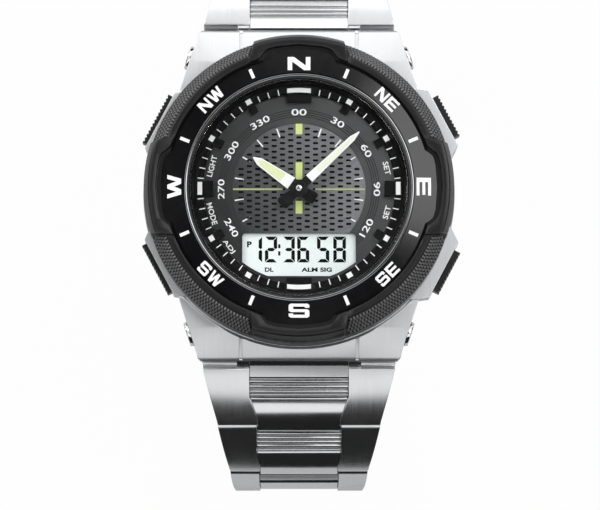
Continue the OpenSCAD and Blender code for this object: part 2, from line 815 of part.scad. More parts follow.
// the barrel's outer ends belong to the first link's cheeks
module end_knuckle() {
  w = barrel_half - inner_half[0] - seat_gap;
  difference() {
    translate([inner_half[0] + seat_gap, 0, 0])
      union() {
        rotate([0, 90, 0]) cylinder(r = barrel_r, h = w);
        translate([0, 0, -barrel_r * 0.6]) cube([w, first_start + link_r, barrel_r * 1.2]);
        translate([0, strip_y, 0]) cube([w, first_start + 0.5, link_r - 0.25]);
      }
    rod(pin_r + run_fit, 17, 0, 0);
  }
}

module sides(i) {
  color(steel)
    union() {
      cheeks(i);
      if (i > 0) rod(pin_r, outer_half[i] - 1.6, 0, 0);
      rod(tie_r, inner_half[i] + 1, tie_at(i), tie_z);
      if (i == 0) rod(tie_r, inner_half[i] + 1, first_tie, tie_z);
      if (i == 0) both_sides() end_knuckle();
    }
}

module centre(i) {
  s0 = ridge_start(i);
  s1 = dome_start(i);
  s2 = pitch(i);
  top = link_r - 0.55;
  color(steel)
    difference() {
      union() {
        intersection() {
          union() {
            bar(16, s0, s1 + 1, -link_r, top);
            for (k = [0 : ridge_count - 1])
              rod(ridge_pitch * 0.42, 16, s0 + (k + 0.5) * ridge_pitch, top);
            rod(0.9, 16, s1 + 0.9, link_r - 0.8);
            crowned(dome_crown, s1 + 0.6, s2 - 0.4, link_r - 1.2, link_r + 0.05);
            bar(16, s1, s2 - knuckle_r + 0.2, -link_r, link_r - 0.8);
            bar(16, s2 - knuckle_r - 0.4, s2, -knuckle_r, knuckle_r);
          }
          plan(centre_plan(i, 0));
        }
        rod(knuckle_r, inner_half[i + 1] - side_gap, s2, 0);
        if (i == 0) {
          rod(barrel_r, inner_half[0], 0, 0);
          bar(inner_half[0] - 0.4, 0, s0 + 0.5, -0.9, 0.9);
          bar(inner_half[0], strip_y, s0 + 0.5, -0.9, top + 0.3);
        }
      }
      rod(pin_r + run_fit, 17, s2, 0);
      if (i == 0) rod(pin_r + run_fit, 17, 0, 0);
      if (i > 0) rod(knuckle_r + side_gap, 17, 0, 0);
      if (i == 0) rod(tie_r + seat_gap, 17, first_tie, tie_z);
      rod(tie_r + seat_gap, 17, tie_at(i), tie_z);
    }
}

module at_link(i) {
  translate([0, pin_at(i)[0], pin_at(i)[1]]) rotate([-lean[i], 0, 0]) children();
}

module north(i) at_link(i) children();
module south(i) mirror([0, 1, 0]) at_link(i) children();

module link_12h_1_sides() north(0) sides(0);
module link_12h_2_sides() north(1) sides(1);
module link_12h_3_sides() north(2) sides(2);
module link_12h_4_sides() north(3) sides(3);
module link_12h_5_sides() north(4) sides(4);
module link_12h_6_sides() north(5) sides(5);
module link_12h_7_sides() {
  north(6) sides(6);
  color(dark_steel) north(6) rod(pin_r, inner_half[7] + 1, link_pitch, 0);
}
module link_12h_1_centre() north(0) centre(0);
module link_12h_2_centre() north(1) centre(1);
module link_12h_3_centre() north(2) centre(2);
module link_12h_4_centre() north(3) centre(3);
module link_12h_5_centre() north(4) centre(4);
module link_12h_6_centre() north(5) centre(5);
module link_12h_7_centre() north(6) centre(6);
module link_6h_1_sides() south(0) sides(0);
module link_6h_2_sides() south(1) sides(1);
module link_6h_3_sides() south(2) sides(2);
module link_6h_4_sides() south(3) sides(3);
module link_6h_5_sides() south(4) sides(4);
module link_6h_6_sides() south(5) sides(5);
module link_6h_7_sides() south(6) sides(6);
module link_6h_1_centre() south(0) centre(0);
module link_6h_2_centre() south(1) centre(1);
module link_6h_3_centre() south(2) centre(2);
module link_6h_4_centre() south(3) centre(3);
module link_6h_5_centre() south(4) centre(4);
module link_6h_6_centre() south(5) centre(5);
module link_6h_7_centre() south(6) centre(6);

// Clasp

module base_blade() {
  color(steel)
    difference() {
      union() {
        bar(blade_half, -clasp_y + knuckle_r + 0.3, fold_y, base_low, base_low + blade_t);
        both_sides() intersection() {
          union() {
            rod(knuckle_r, blade_half, -clasp_y, clasp_z);
            bar(blade_half, -clasp_y, -clasp_y + knuckle_r + 0.5, base_low, base_low + blade_t);
          }
          translate([inner_half[7] + seat_gap, -40, clasp_z - 5]) cube([5, 40, 10]);
        }
        rod(pin_r, blade_half - 0.2, -clasp_y, clasp_z);
        rod(knuckle_r, knuckle_half, fold_y, fold_z);
      }
      rod(pin_r + run_fit, 2 * blade_half, fold_y, fold_z);
      both_sides() translate([knuckle_half + side_gap, fold_y - knuckle_r - 0.25, clasp_z - blade_half])
        cube([blade_half, 4 * knuckle_r, 2 * blade_half]);
    }
}

module middle_blade() {
  ear_w = blade_half - knuckle_half - 2 * side_gap;
  color(steel)
    difference() {
      union() {
        bar(blade_half, far_y, fold_y - knuckle_r - 0.2, middle_top - blade_t, middle_top);
        both_sides() translate([knuckle_half + 2 * side_gap, 0, 0]) intersection() {
          union() {
            rod(knuckle_r, ear_w, fold_y, fold_z);
            translate([0, fold_y - 2.5, middle_top - blade_t]) cube([ear_w, 2.5, blade_t]);
          }
          translate([0, fold_y - blade_half, clasp_z - blade_half]) cube(2 * blade_half);
        }
        rod(pin_r, blade_half - 0.2, fold_y, fold_z);
        rod(knuckle_r, blade_half, far_y, far_z);
      }
      rod(pin_r + run_fit, 2 * cover_half, far_y, far_z);
    }
}

module clasp_cover() {
  color(steel)
    difference() {
      union() {
        bar(cover_half, cover_y0, cover_y1, cover_out, cover_top);
        both_sides() translate([cover_half - latch_lug, latch_pin_y, 0]) {
          translate([0, 0, latch_pin_z]) rotate([0, 90, 0]) cylinder(r = latch_r, h = latch_lug - 0.4);
          translate([0, -latch_r, latch_pin_z]) cube([latch_lug - 0.4, 2 * latch_r, cover_out - latch_pin_z + 0.2]);
        }
        rod(pin_r * 0.6, cover_half - 1, latch_pin_y, latch_pin_z);
      }
      bar(cover_half - cover_t, cover_y0 - 1, cover_y1 + 1, cover_in, cover_top + 2);
    }
  color(dark_steel) rod(pin_r, cover_half - 0.1, far_y, far_z);
}

module safety_latch() {
  free_y = cover_y0 - 0.15 - latch_t;
  color(steel)
    difference() {
      union() {
        bar(cover_half, free_y, latch_pin_y - latch_r - 0.25, latch_pin_z - latch_r, latch_pin_z - latch_r + latch_t);
        bar(cover_half - latch_lug - side_gap, free_y, latch_pin_y, latch_pin_z - latch_r, latch_pin_z - latch_r + latch_t);
        bar(cover_half, free_y, free_y + latch_t, latch_pin_z - latch_r, cover_in + 0.6);
        rod(latch_r, cover_half - latch_lug - side_gap, latch_pin_y, latch_pin_z);
      }
      rod(pin_r * 0.6 + run_fit, 2 * cover_half, latch_pin_y, latch_pin_z);
    }
}

case_middle();
case_back();
case_back_gasket();
case_back_screws();
crystal();
crystal_gasket();
chapter_ring();
dial();
lcd_panel();
movement_holder();
circuit_board();
battery();
battery_clip();
motor_coil();
lug_bars();
flank_screws();
bezel_spring();
bezel_ring();
compass_insert();
minute_hand();
cannon_pinion();
hour_hand();
hour_wheel();
minute_wheel();
pusher_2h();
pusher_4h();
pusher_8h();
pusher_10h();
link_12h_1_sides();
link_12h_1_centre();
link_12h_2_sides();
link_12h_2_centre();
link_12h_3_sides();
link_12h_3_centre();
link_12h_4_sides();
link_12h_4_centre();
link_12h_5_sides();
link_12h_5_centre();
link_12h_6_sides();
link_12h_6_centre();
link_12h_7_sides();
link_12h_7_centre();
link_6h_1_sides();
link_6h_1_centre();
link_6h_2_sides();
link_6h_2_centre();
link_6h_3_sides();
link_6h_3_centre();
link_6h_4_sides();
link_6h_4_centre();
link_6h_5_sides();
link_6h_5_centre();
link_6h_6_sides();
link_6h_6_centre();
link_6h_7_sides();
link_6h_7_centre();
base_blade();
middle_blade();
clasp_cover();
safety_latch();
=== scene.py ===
# Sports watch with a compass bezel, a hand and number display, and a steel link bracelet.
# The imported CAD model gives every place. Each CAD solid is copied, its edges are broken as in the
# factory, and it gets its real finish. Printing, lume, display figures and the grip on the bezel
# are modelled here. Sizes below are in millimetres and become metres at the last step.
import bpy
import json
import math
from mathutils import Matrix, Vector

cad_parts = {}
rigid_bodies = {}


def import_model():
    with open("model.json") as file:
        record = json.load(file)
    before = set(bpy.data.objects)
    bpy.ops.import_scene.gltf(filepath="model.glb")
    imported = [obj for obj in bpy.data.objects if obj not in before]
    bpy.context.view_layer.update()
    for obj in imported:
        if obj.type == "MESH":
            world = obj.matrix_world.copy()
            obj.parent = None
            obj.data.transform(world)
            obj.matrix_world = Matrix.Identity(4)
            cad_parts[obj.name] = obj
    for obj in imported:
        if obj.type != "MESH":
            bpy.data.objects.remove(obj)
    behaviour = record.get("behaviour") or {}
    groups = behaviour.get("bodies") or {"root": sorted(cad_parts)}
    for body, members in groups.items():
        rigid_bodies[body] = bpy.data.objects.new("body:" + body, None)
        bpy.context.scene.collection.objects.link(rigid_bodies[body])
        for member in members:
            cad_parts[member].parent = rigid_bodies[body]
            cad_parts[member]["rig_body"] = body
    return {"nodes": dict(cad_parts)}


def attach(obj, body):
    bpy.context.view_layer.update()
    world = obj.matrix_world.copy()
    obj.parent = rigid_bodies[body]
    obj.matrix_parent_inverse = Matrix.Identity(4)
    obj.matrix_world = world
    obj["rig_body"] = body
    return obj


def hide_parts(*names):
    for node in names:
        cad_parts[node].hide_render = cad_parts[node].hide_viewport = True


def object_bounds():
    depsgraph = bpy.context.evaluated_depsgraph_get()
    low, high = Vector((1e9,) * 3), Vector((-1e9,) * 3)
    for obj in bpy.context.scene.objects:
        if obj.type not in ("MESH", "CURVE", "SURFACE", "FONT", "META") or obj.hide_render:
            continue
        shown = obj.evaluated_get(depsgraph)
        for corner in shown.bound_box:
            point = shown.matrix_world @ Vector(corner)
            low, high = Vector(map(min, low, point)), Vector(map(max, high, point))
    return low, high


MM = 0.001
SAME_PLACE = 0.000002    # corners nearer than this are one corner, in metres

for leftover in list(bpy.data.objects):
    bpy.data.objects.remove(leftover)

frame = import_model()
cad_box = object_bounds()
scene = bpy.context.scene
scene.view_settings.view_transform = "Standard"

# The photograph, 600 x 510 points, shows 90.6 mm across at the dial's height.
PICTURE_W = 600
PER_POINT = 0.151
CENTRE_X, CENTRE_Y = 299.0, 189.5   # the centre of the dial, in points
DIAL = 9.2                          # height of the dial's face
SEEN_FROM = math.radians(8)         # tilt with which points are read
CAMERA_TILT = math.radians(7.2)     # tilt of the camera itself
CAMERA_FAR = 600
SENSOR = 36
PICTURE_LOW = 9.9                   # the picture's middle lies this far below the dial's centre


def seen(px, py, z):
    """Where a point of the photograph lies on a level z, in millimetres."""
    nearer = 1 - (z - DIAL) / CAMERA_FAR
    x = (px - CENTRE_X) * PER_POINT * nearer
    up = (CENTRE_Y - py) * PER_POINT * nearer
    return x, (up - (z - DIAL) * math.sin(SEEN_FROM)) / math.cos(SEEN_FROM)


def set_camera():
    """The photograph is taken from in front of the dial, a little from the 6 o'clock side."""
    up = Vector((0, math.cos(CAMERA_TILT), math.sin(CAMERA_TILT)))
    out = Vector((0, -math.sin(CAMERA_TILT), math.cos(CAMERA_TILT)))
    aim = Vector((0.15, 0, DIAL)) - up * PICTURE_LOW
    bpy.ops.object.camera_add(
        location=(aim + out * CAMERA_FAR) * MM, rotation=(CAMERA_TILT, 0, 0))
    camera = bpy.context.object
    camera.name = "camera_front"
    camera.data.sensor_width = SENSOR
    camera.data.lens = SENSOR * CAMERA_FAR / (PICTURE_W * PER_POINT)
    camera.data.clip_start = 0.01
    scene.camera = camera


set_camera()


# Hand tools

def only(piece):
    """Selects one piece and nothing else."""
    bpy.ops.object.select_all(action="DESELECT")
    piece.select_set(True)
    bpy.context.view_layer.objects.active = piece


def place(piece, matrix):
    """Moves the mesh, with the object left at the origin."""
    piece.data.transform(matrix)
    piece.data.update()
    return piece


def spot(x, y, z, turn=0.0):
    """A place in millimetres, turned clockwise by degrees as seen from the front."""
    return Matrix.Translation(Vector((x, y, z)) * MM) @ Matrix.Rotation(-math.radians(turn), 4, "Z")


def ringed(radius, angle, z, face=0.0):
    """A place on a circle round the dial's centre, at a clock angle, its top turned outwards."""
    a = math.radians(angle)
    return spot(radius * math.sin(a), radius * math.cos(a), z, angle + face)


def copies(piece, matrices, name):
    """One modelled piece, copied to each place, each copy with its own mesh, as one object."""
    made = []
    for matrix in matrices:
        one = bpy.data.objects.new(name, piece.data.copy())
        scene.collection.objects.link(one)
        one.data.transform(matrix)
        made.append(one)
    bpy.data.objects.remove(piece)
    return joined(made, name)


def joined(pieces, name):
    """Several pieces as one object."""
    bpy.ops.object.select_all(action="DESELECT")
    for piece in pieces:
        piece.select_set(True)
    bpy.context.view_layer.objects.active = pieces[0]
    bpy.ops.object.join()
    pieces[0].name = name
    pieces[0].data.name = name
    return pieces[0]


def break_edges(piece, width, segments=2, from_angle=30):
    """Takes the sharpness off every edge, as tumbling and polishing do."""
    only(piece)
    bevel = piece.modifiers.new("edge_break", "BEVEL")
    bevel.width = width * MM
    bevel.segments = segments
    bevel.limit_method = "ANGLE"
    bevel.angle_limit = math.radians(from_angle)
    bevel.use_clamp_overlap = False
    bpy.ops.object.modifier_apply(modifier=bevel.name)


def smooth(piece, angle=38):
    """Smooth shading with flat faces kept flat."""
    only(piece)
    bpy.ops.object.shade_smooth_by_angle(angle=math.radians(angle))
    even = piece.modifiers.new("even_faces", "WEIGHTED_NORMAL")
    even.keep_sharp = True
    bpy.ops.object.modifier_apply(modifier=even.name)


def coat(piece, *finishes):
    """Gives a piece its finishes, in slot order."""
    piece.data.materials.clear()
    for finish in finishes:
        piece.data.materials.append(finish)


def slab(name, corners, low, thick, edge=0.0):
    """A flat plate cut to an outline of corners in millimetres, from low upwards."""
    bpy.ops.object.select_all(action="DESELECT")
    bpy.ops.mesh.primitive_circle_add(vertices=len(corners), radius=1, fill_type="NGON")
    piece = bpy.context.object
    piece.name = name
    for point, corner in zip(piece.data.vertices, corners):
        point.co = Vector((corner[0], corner[1], low)) * MM
    bpy.ops.object.mode_set(mode="EDIT")
    bpy.ops.mesh.select_all(action="SELECT")
    bpy.ops.mesh.extrude_region_move(TRANSFORM_OT_translate={"value": (0, 0, thick * MM)})
    bpy.ops.mesh.select_all(action="SELECT")
    bpy.ops.mesh.normals_make_consistent(inside=False)
    bpy.ops.object.mode_set(mode="OBJECT")
    if edge:
        break_edges(piece, edge)
    return piece


def bar(name, wide, high, low, thick, edge=0.0):
    """A plate with four corners, centred."""
    w, h = wide / 2, high / 2
    return slab(name, [(-w, -h), (w, -h), (w, h), (-w, h)], low, thick, edge)


def words(name, text, high, wide, matrix, bold=0.0, thick=0.03, spacing=1.0):
    """Letters of an exact height and width, raised as thick print is, lying at a place."""
    bpy.ops.object.select_all(action="DESELECT")
    bpy.ops.object.text_add()
    piece = bpy.context.object
    piece.name = name
    piece.data.body = text
    piece.data.align_x = "CENTER"
    piece.data.align_y = "CENTER"
    piece.data.offset = bold
    piece.data.extrude = 0.05
    piece.data.space_character = spacing
    piece.data.resolution_u = 3
    only(piece)
    bpy.ops.object.convert(target="MESH")
    piece = bpy.context.object
    low = [min(v.co[i] for v in piece.data.vertices) for i in range(3)]
    high_corner = [max(v.co[i] for v in piece.data.vertices) for i in range(3)]
    size = [high_corner[i] - low[i] for i in range(3)]
    middle = Vector([(high_corner[i] + low[i]) / 2 for i in range(2)] + [low[2]])
    shrink = Matrix.Diagonal((wide * MM / size[0], high * MM / size[1], thick * MM / size[2], 1))
    place(piece, matrix @ shrink @ Matrix.Translation(-middle))
    only(piece)
    bpy.ops.object.mode_set(mode="EDIT")
    bpy.ops.mesh.select_all(action="SELECT")
    bpy.ops.mesh.remove_doubles(threshold=SAME_PLACE)
    bpy.ops.object.mode_set(mode="OBJECT")
    return piece


def on_watch(piece, body, slot, *finishes):
    """The piece gets its finish and rides on its body; its slot argument is not used."""
    if finishes:
        coat(piece, *finishes)
    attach(piece, body)
    return piece


def dress(node, finish, edge=0.0, segments=2, shade=38):
    """The CAD solid's own shape, with broken edges and its real finish, in place of the node."""
    source = frame["nodes"][node]
    piece = bpy.data.objects.new(node + "_finished", source.data.copy())
    scene.collection.objects.link(piece)
    only(piece)
    bpy.ops.mesh.customdata_custom_splitnormals_clear()
    bpy.ops.object.mode_set(mode="EDIT")
    bpy.ops.mesh.select_all(action="SELECT")
    bpy.ops.mesh.remove_doubles(threshold=SAME_PLACE)
    bpy.ops.object.mode_set(mode="OBJECT")
    if edge:
        break_edges(piece, edge, segments)
    smooth(piece, shade)
    slot = source.data.materials[0].name
    on_watch(piece, source["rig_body"], slot, finish)
    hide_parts(node)
    return piece


# Finishes

def linear(code):
    """An sRGB hex colour as the linear colour that nodes take."""
    parts = [int(code[i:i + 2], 16) / 255 for i in (1, 3, 5)]
    return [v / 12.92 if v <= 0.04045 else ((v + 0.055) / 1.055) ** 2.4 for v in parts] + [1]


def add(tree, kind, inputs=None, **settings):
    """Adds one node, with its settings, and its inputs set or linked."""
    node = tree.nodes.new(kind)
    for name, value in settings.items():
        setattr(node, name, value)
    for key, value in (inputs or {}).items():
        if isinstance(value, bpy.types.NodeSocket):
            tree.links.new(value, node.inputs[key])
        else:
            node.inputs[key].default_value = value
    return node


def new_finish(name, **skin):
    """An empty finish: its material, its tree, its Principled skin and the place on the piece."""
    made = bpy.data.materials.new(name)
    made.use_nodes = True
    tree = made.node_tree
    tree.nodes.clear()
    shader = add(tree, "ShaderNodeBsdfPrincipled", {
        socket.replace("_", " "): value for socket, value in skin.items()})
    add(tree, "ShaderNodeOutputMaterial", {"Surface": shader.outputs[0]})
    where = add(tree, "ShaderNodeTexCoord").outputs["Object"]
    return made, tree, shader, where


def line_grain(name, tones, roughs, width, length, depth, along="YZ", **skin):
    """A metal with straight grain lines: width and length of a line and its depth in mm."""
    made, tree, shader, where = new_finish(name, Metallic=1.0, **skin)
    across, with_it = 1 / (width * MM), 1 / (length * MM)
    stretch = {"YZ": (across, with_it, with_it), "X": (with_it, across, across)}[along]
    spread = add(tree, "ShaderNodeMapping", {"Vector": where, "Scale": stretch})
    lines = add(tree, "ShaderNodeTexNoise", {
        "Vector": spread.outputs[0], "Scale": 1.0, "Detail": 3.0, "Roughness": 0.6})
    cloud = add(tree, "ShaderNodeTexNoise", {"Vector": where, "Scale": 1 / (5 * MM), "Detail": 2.0})
    tone = add(tree, "ShaderNodeMix", {
        0: lines.outputs[0], 6: linear(tones[0]), 7: linear(tones[1])}, data_type="RGBA")
    both = add(tree, "ShaderNodeMath", {0: lines.outputs[0], 1: cloud.outputs[0]}, operation="ADD")
    rough = add(tree, "ShaderNodeMapRange", {
        "Value": both.outputs[0], "From Min": 0.6, "From Max": 1.4,
        "To Min": roughs[0], "To Max": roughs[1]})
    relief = add(tree, "ShaderNodeBump", {
        "Height": lines.outputs[0], "Strength": 1.0, "Distance": depth * MM})
    tree.links.new(tone.outputs[2], shader.inputs["Base Color"])
    tree.links.new(rough.outputs[0], shader.inputs["Roughness"])
    tree.links.new(relief.outputs[0], shader.inputs["Normal"])
    return made


def even_finish(name, tones, roughs, grain, depth, **skin):
    """A surface with even fine grain: the grain's size and depth in mm."""
    made, tree, shader, where = new_finish(name, **skin)
    fine = add(tree, "ShaderNodeTexNoise", {
        "Vector": where, "Scale": 1 / (grain * MM), "Detail": 3.0, "Roughness": 0.6})
    cloud = add(tree, "ShaderNodeTexNoise", {"Vector": where, "Scale": 1 / (6 * MM), "Detail": 3.0})
    tone = add(tree, "ShaderNodeMix", {
        0: cloud.outputs[0], 6: linear(tones[0]), 7: linear(tones[1])}, data_type="RGBA")
    both = add(tree, "ShaderNodeMath", {0: fine.outputs[0], 1: cloud.outputs[0]}, operation="ADD")
    rough = add(tree, "ShaderNodeMapRange", {
        "Value": both.outputs[0], "From Min": 0.6, "From Max": 1.4,
        "To Min": roughs[0], "To Max": roughs[1]})
    relief = add(tree, "ShaderNodeBump", {
        "Height": fine.outputs[0], "Strength": 1.0, "Distance": depth * MM})
    tree.links.new(tone.outputs[2], shader.inputs["Base Color"])
    tree.links.new(rough.outputs[0], shader.inputs["Roughness"])
    tree.links.new(relief.outputs[0], shader.inputs["Normal"])
    return made


def turned_grain(name, tones, roughs, width):
    """A metal faced on a lathe: fine rings round the watch's own axis, width in mm."""
    made, tree, shader, where = new_finish(name, Metallic=1.0)
    flat = add(tree, "ShaderNodeVectorMath", {0: where, 1: (1, 1, 0)}, operation="MULTIPLY")
    radius = add(tree, "ShaderNodeVectorMath", {0: flat.outputs[0]}, operation="LENGTH")
    wave = add(tree, "ShaderNodeMath", {
        0: radius.outputs["Value"], 1: 1 / (width * MM)}, operation="MULTIPLY")
    rings = add(tree, "ShaderNodeTexNoise", {
        "W": wave.outputs[0], "Scale": 1.0, "Detail": 2.0}, noise_dimensions="1D")
    tone = add(tree, "ShaderNodeMix", {
        0: rings.outputs[0], 6: linear(tones[0]), 7: linear(tones[1])}, data_type="RGBA")
    rough = add(tree, "ShaderNodeMapRange", {
        "Value": rings.outputs[0], "From Min": 0.3, "From Max": 0.7,
        "To Min": roughs[0], "To Max": roughs[1]})
    relief = add(tree, "ShaderNodeBump", {
        "Height": rings.outputs[0], "Strength": 1.0, "Distance": 0.004 * MM})
    tree.links.new(tone.outputs[2], shader.inputs["Base Color"])
    tree.links.new(rough.outputs[0], shader.inputs["Roughness"])
    tree.links.new(relief.outputs[0], shader.inputs["Normal"])
    return made


# Stainless steel, line brushed on a belt. Real lines are about 0.03 mm, too fine for the picture,
# so they are drawn 0.14 mm wide: a soft streaky sheen that runs along the bracelet.
brushed_steel = line_grain(
    "steel_316L_line_brushed", ("#BCBEC0", "#D0D1D2"), (0.18, 0.27), 0.14, 9, 0.002)

# The same steel, satin from a wheel: the case, softer than the bracelet.
satin_steel = line_grain(
    "steel_316L_satin_wheeled", ("#C4C6C8", "#D4D5D6"), (0.36, 0.44), 0.14, 9, 0.001)

# The same steel, brushed finer: the middle of each link, where ridges stand as clear bright lines.
fine_steel = line_grain(
    "steel_316L_fine_brushed", ("#C2C4C6", "#D0D1D2"), (0.14, 0.2), 0.12, 9, 0.0012)

# Stainless steel, buffed: a clear mirror with faint wipe marks.
buffed_steel = even_finish(
    "steel_316L_buffed", ("#CFD0D1", "#DCDDDE"), (0.08, 0.16), 0.5, 0.001, Metallic=1.0)

# Stainless steel, lapped: the narrow top of the neck round the glass, a mirror whose colour is
# darkened as painted shade.
shaded_lapped_steel = even_finish(
    "steel_316L_lapped_painted_shade", ("#8E9092", "#999B9D"), (0.04, 0.07), 0.5, 0.0002, Metallic=1.0)

# Stainless steel, faced on a lathe: the case back, with fine rings that catch light as a fan.
turned_steel = turned_grain("steel_316L_lathe_faced", ("#B2B4B6", "#D0D1D2"), (0.22, 0.36), 0.16)

# Polyurethane resin, moulded in a spark-eroded mould: deep black, with a fine dry grain.
moulded_resin = even_finish(
    "polyurethane_resin_moulded", ("#0A0A0B", "#101011"), (0.28, 0.38), 0.12, 0.004,
    Specular_IOR_Level=0.35)

# The same resin on the studs of the grip, paler: a painted highlight where lamps catch the studs.
highlit_resin = even_finish(
    "polyurethane_resin_painted_highlight", ("#5A5A5B", "#707071"), (0.3, 0.4), 0.12, 0.004)

# ABS under a gloss lacquer: the compass ring, black, with a clear soft mirror.
gloss_ring = even_finish(
    "abs_black_gloss_lacquer", ("#09090B", "#0B0B0D"), (0.1, 0.15), 0.9, 0.0005, IOR=1.56)

# Nitrile rubber, moulded: gaskets, dull black with no sparkle.
moulded_rubber = even_finish(
    "nitrile_rubber_moulded", ("#151515", "#1E1E1E"), (0.6, 0.75), 0.1, 0.004)

# Pad printing ink, white: opaque, slightly grainy, softly shiny.
white_ink = even_finish("pad_print_ink_white", ("#ECECEC", "#F6F6F6"), (0.4, 0.5), 0.15, 0.002)

# Strontium aluminate lume in clear binder: pale yellow green, chalky.
green_lume = even_finish("strontium_lume_green", ("#C3D374", "#D3E08C"), (0.6, 0.75), 0.12, 0.004)

# The same lume in a thin line, where the dark dial shows through.
thin_lume = even_finish("strontium_lume_thin", ("#A3AF74", "#B3BE84"), (0.6, 0.75), 0.12, 0.002)

# The same lume, thin over white: nearly white with a green breath.
pale_lume = even_finish("strontium_lume_pale", ("#DEE7CC", "#EAF0DC"), (0.55, 0.7), 0.12, 0.004)

# The same lume on the hour hand, thinly laid over the white.
hour_lume = even_finish(
    "strontium_lume_hour_hand", ("#D2DEA6", "#DFE8BC"), (0.55, 0.7), 0.12, 0.004)

# Hands: brass blanks, lacquered. Black near the centre, white along the blade.
black_lacquer = even_finish(
    "brass_black_lacquer", ("#060606", "#0A0A0A"), (0.3, 0.4), 0.4, 0.001, Specular_IOR_Level=0.25)

# Chrome plated brass: the small pin and screws, bright.
chrome_plate = even_finish(
    "brass_chrome_plated", ("#C9CACC", "#DADBDC"), (0.12, 0.2), 0.3, 0.001, Metallic=1.0)

# Free-cutting brass, hobbed: wheels and pinions of the works.
cut_brass = even_finish(
    "brass_cz121_hobbed", ("#C9A24A", "#DDBB66"), (0.22, 0.34), 0.15, 0.002, Metallic=1.0)

# Acetal, moulded: holder of the works, pale and waxy.
pale_acetal = even_finish(
    "acetal_moulded_natural", ("#D8D6CC", "#E4E2D9"), (0.42, 0.55), 0.2, 0.003)

# Glass epoxy board under green solder mask: gloss over a faint weave.
solder_mask = even_finish(
    "fr4_green_solder_mask", ("#12402A", "#1A5235"), (0.25, 0.35), 0.25, 0.003)

# Enamelled copper wire, wound: warm red brown with a clear varnish.
wound_copper = even_finish(
    "copper_wire_enamelled", ("#8E4A24", "#A75C30"), (0.25, 0.35), 0.08, 0.01, Metallic=1.0)

# Zinc battery can, nickel plated and drawn: satin, slightly yellow.
nickel_can = even_finish(
    "steel_nickel_plated_drawn", ("#BDBAB2", "#CFCCC4"), (0.2, 0.3), 0.2, 0.001, Metallic=1.0)

# Display figures: liquid crystal that is switched on, a flat blue black.
crystal_black = even_finish(
    "liquid_crystal_dark", ("#020403", "#050807"), (0.5, 0.6), 0.2, 0.0005, Specular_IOR_Level=0.1)


def painted_dial():
    """Brass dial plate, lacquered and pad printed: satin charcoal with four fine scored rings,
    and painted shade that leaves it a little lighter towards 2 o'clock, where more light falls."""
    made, tree, shader, where = new_finish(
        "brass_dial_satin_lacquer", Roughness=0.42, Specular_IOR_Level=0.3)
    flat = add(tree, "ShaderNodeVectorMath", {0: where, 1: (1, 1, 0)}, operation="MULTIPLY")
    radius = add(tree, "ShaderNodeVectorMath", {0: flat.outputs[0]}, operation="LENGTH")
    # painted shade: the lacquer lighter towards 2 o'clock, darker towards 8 o'clock
    side = add(tree, "ShaderNodeVectorMath", {
        0: where, 1: (0.78, 0.62, 0)}, operation="DOT_PRODUCT")
    painted_shade_fall = add(tree, "ShaderNodeMapRange", {
        "Value": side.outputs["Value"], "From Min": -14 * MM, "From Max": 14 * MM})
    shaded_ground = add(tree, "ShaderNodeMix", {
        0: painted_shade_fall.outputs[0], 6: linear("#1E1E1F"), 7: linear("#4A4A4B")}, data_type="RGBA")
    # scored rings, 0.345 mm apart between radius 11.0 and 12.2
    steps = add(tree, "ShaderNodeMath", {
        0: radius.outputs["Value"], 1: 11.0 * MM}, operation="SUBTRACT")
    count = add(tree, "ShaderNodeMath", {0: steps.outputs[0], 1: 0.345 * MM}, operation="DIVIDE")
    part = add(tree, "ShaderNodeMath", {0: count.outputs[0]}, operation="FRACT")
    line = add(tree, "ShaderNodeMath", {0: part.outputs[0], 1: 0.36}, operation="LESS_THAN")
    after = add(tree, "ShaderNodeMath", {0: count.outputs[0], 1: 0.0}, operation="GREATER_THAN")
    before = add(tree, "ShaderNodeMath", {0: count.outputs[0], 1: 3.4}, operation="LESS_THAN")
    band = add(tree, "ShaderNodeMath", {
        0: after.outputs[0], 1: before.outputs[0]}, operation="MULTIPLY")
    scored = add(tree, "ShaderNodeMath", {
        0: band.outputs[0], 1: line.outputs[0]}, operation="MULTIPLY")
    tone = add(tree, "ShaderNodeMix", {
        0: scored.outputs[0], 6: shaded_ground.outputs[2], 7: linear("#1C1C1D")}, data_type="RGBA")
    dust = add(tree, "ShaderNodeTexNoise", {
        "Vector": where, "Scale": 1 / (0.1 * MM), "Detail": 2.0})
    grain = add(tree, "ShaderNodeMix", {
        0: 0.12, 6: tone.outputs[2], 7: dust.outputs[0]}, data_type="RGBA", blend_type="OVERLAY")
    drop = add(tree, "ShaderNodeMath", {0: 1.0, 1: scored.outputs[0]}, operation="SUBTRACT")
    relief = add(tree, "ShaderNodeBump", {
        "Height": drop.outputs[0], "Strength": 0.6, "Distance": 0.03 * MM})
    tree.links.new(grain.outputs[2], shader.inputs["Base Color"])
    tree.links.new(relief.outputs[0], shader.inputs["Normal"])
    return made


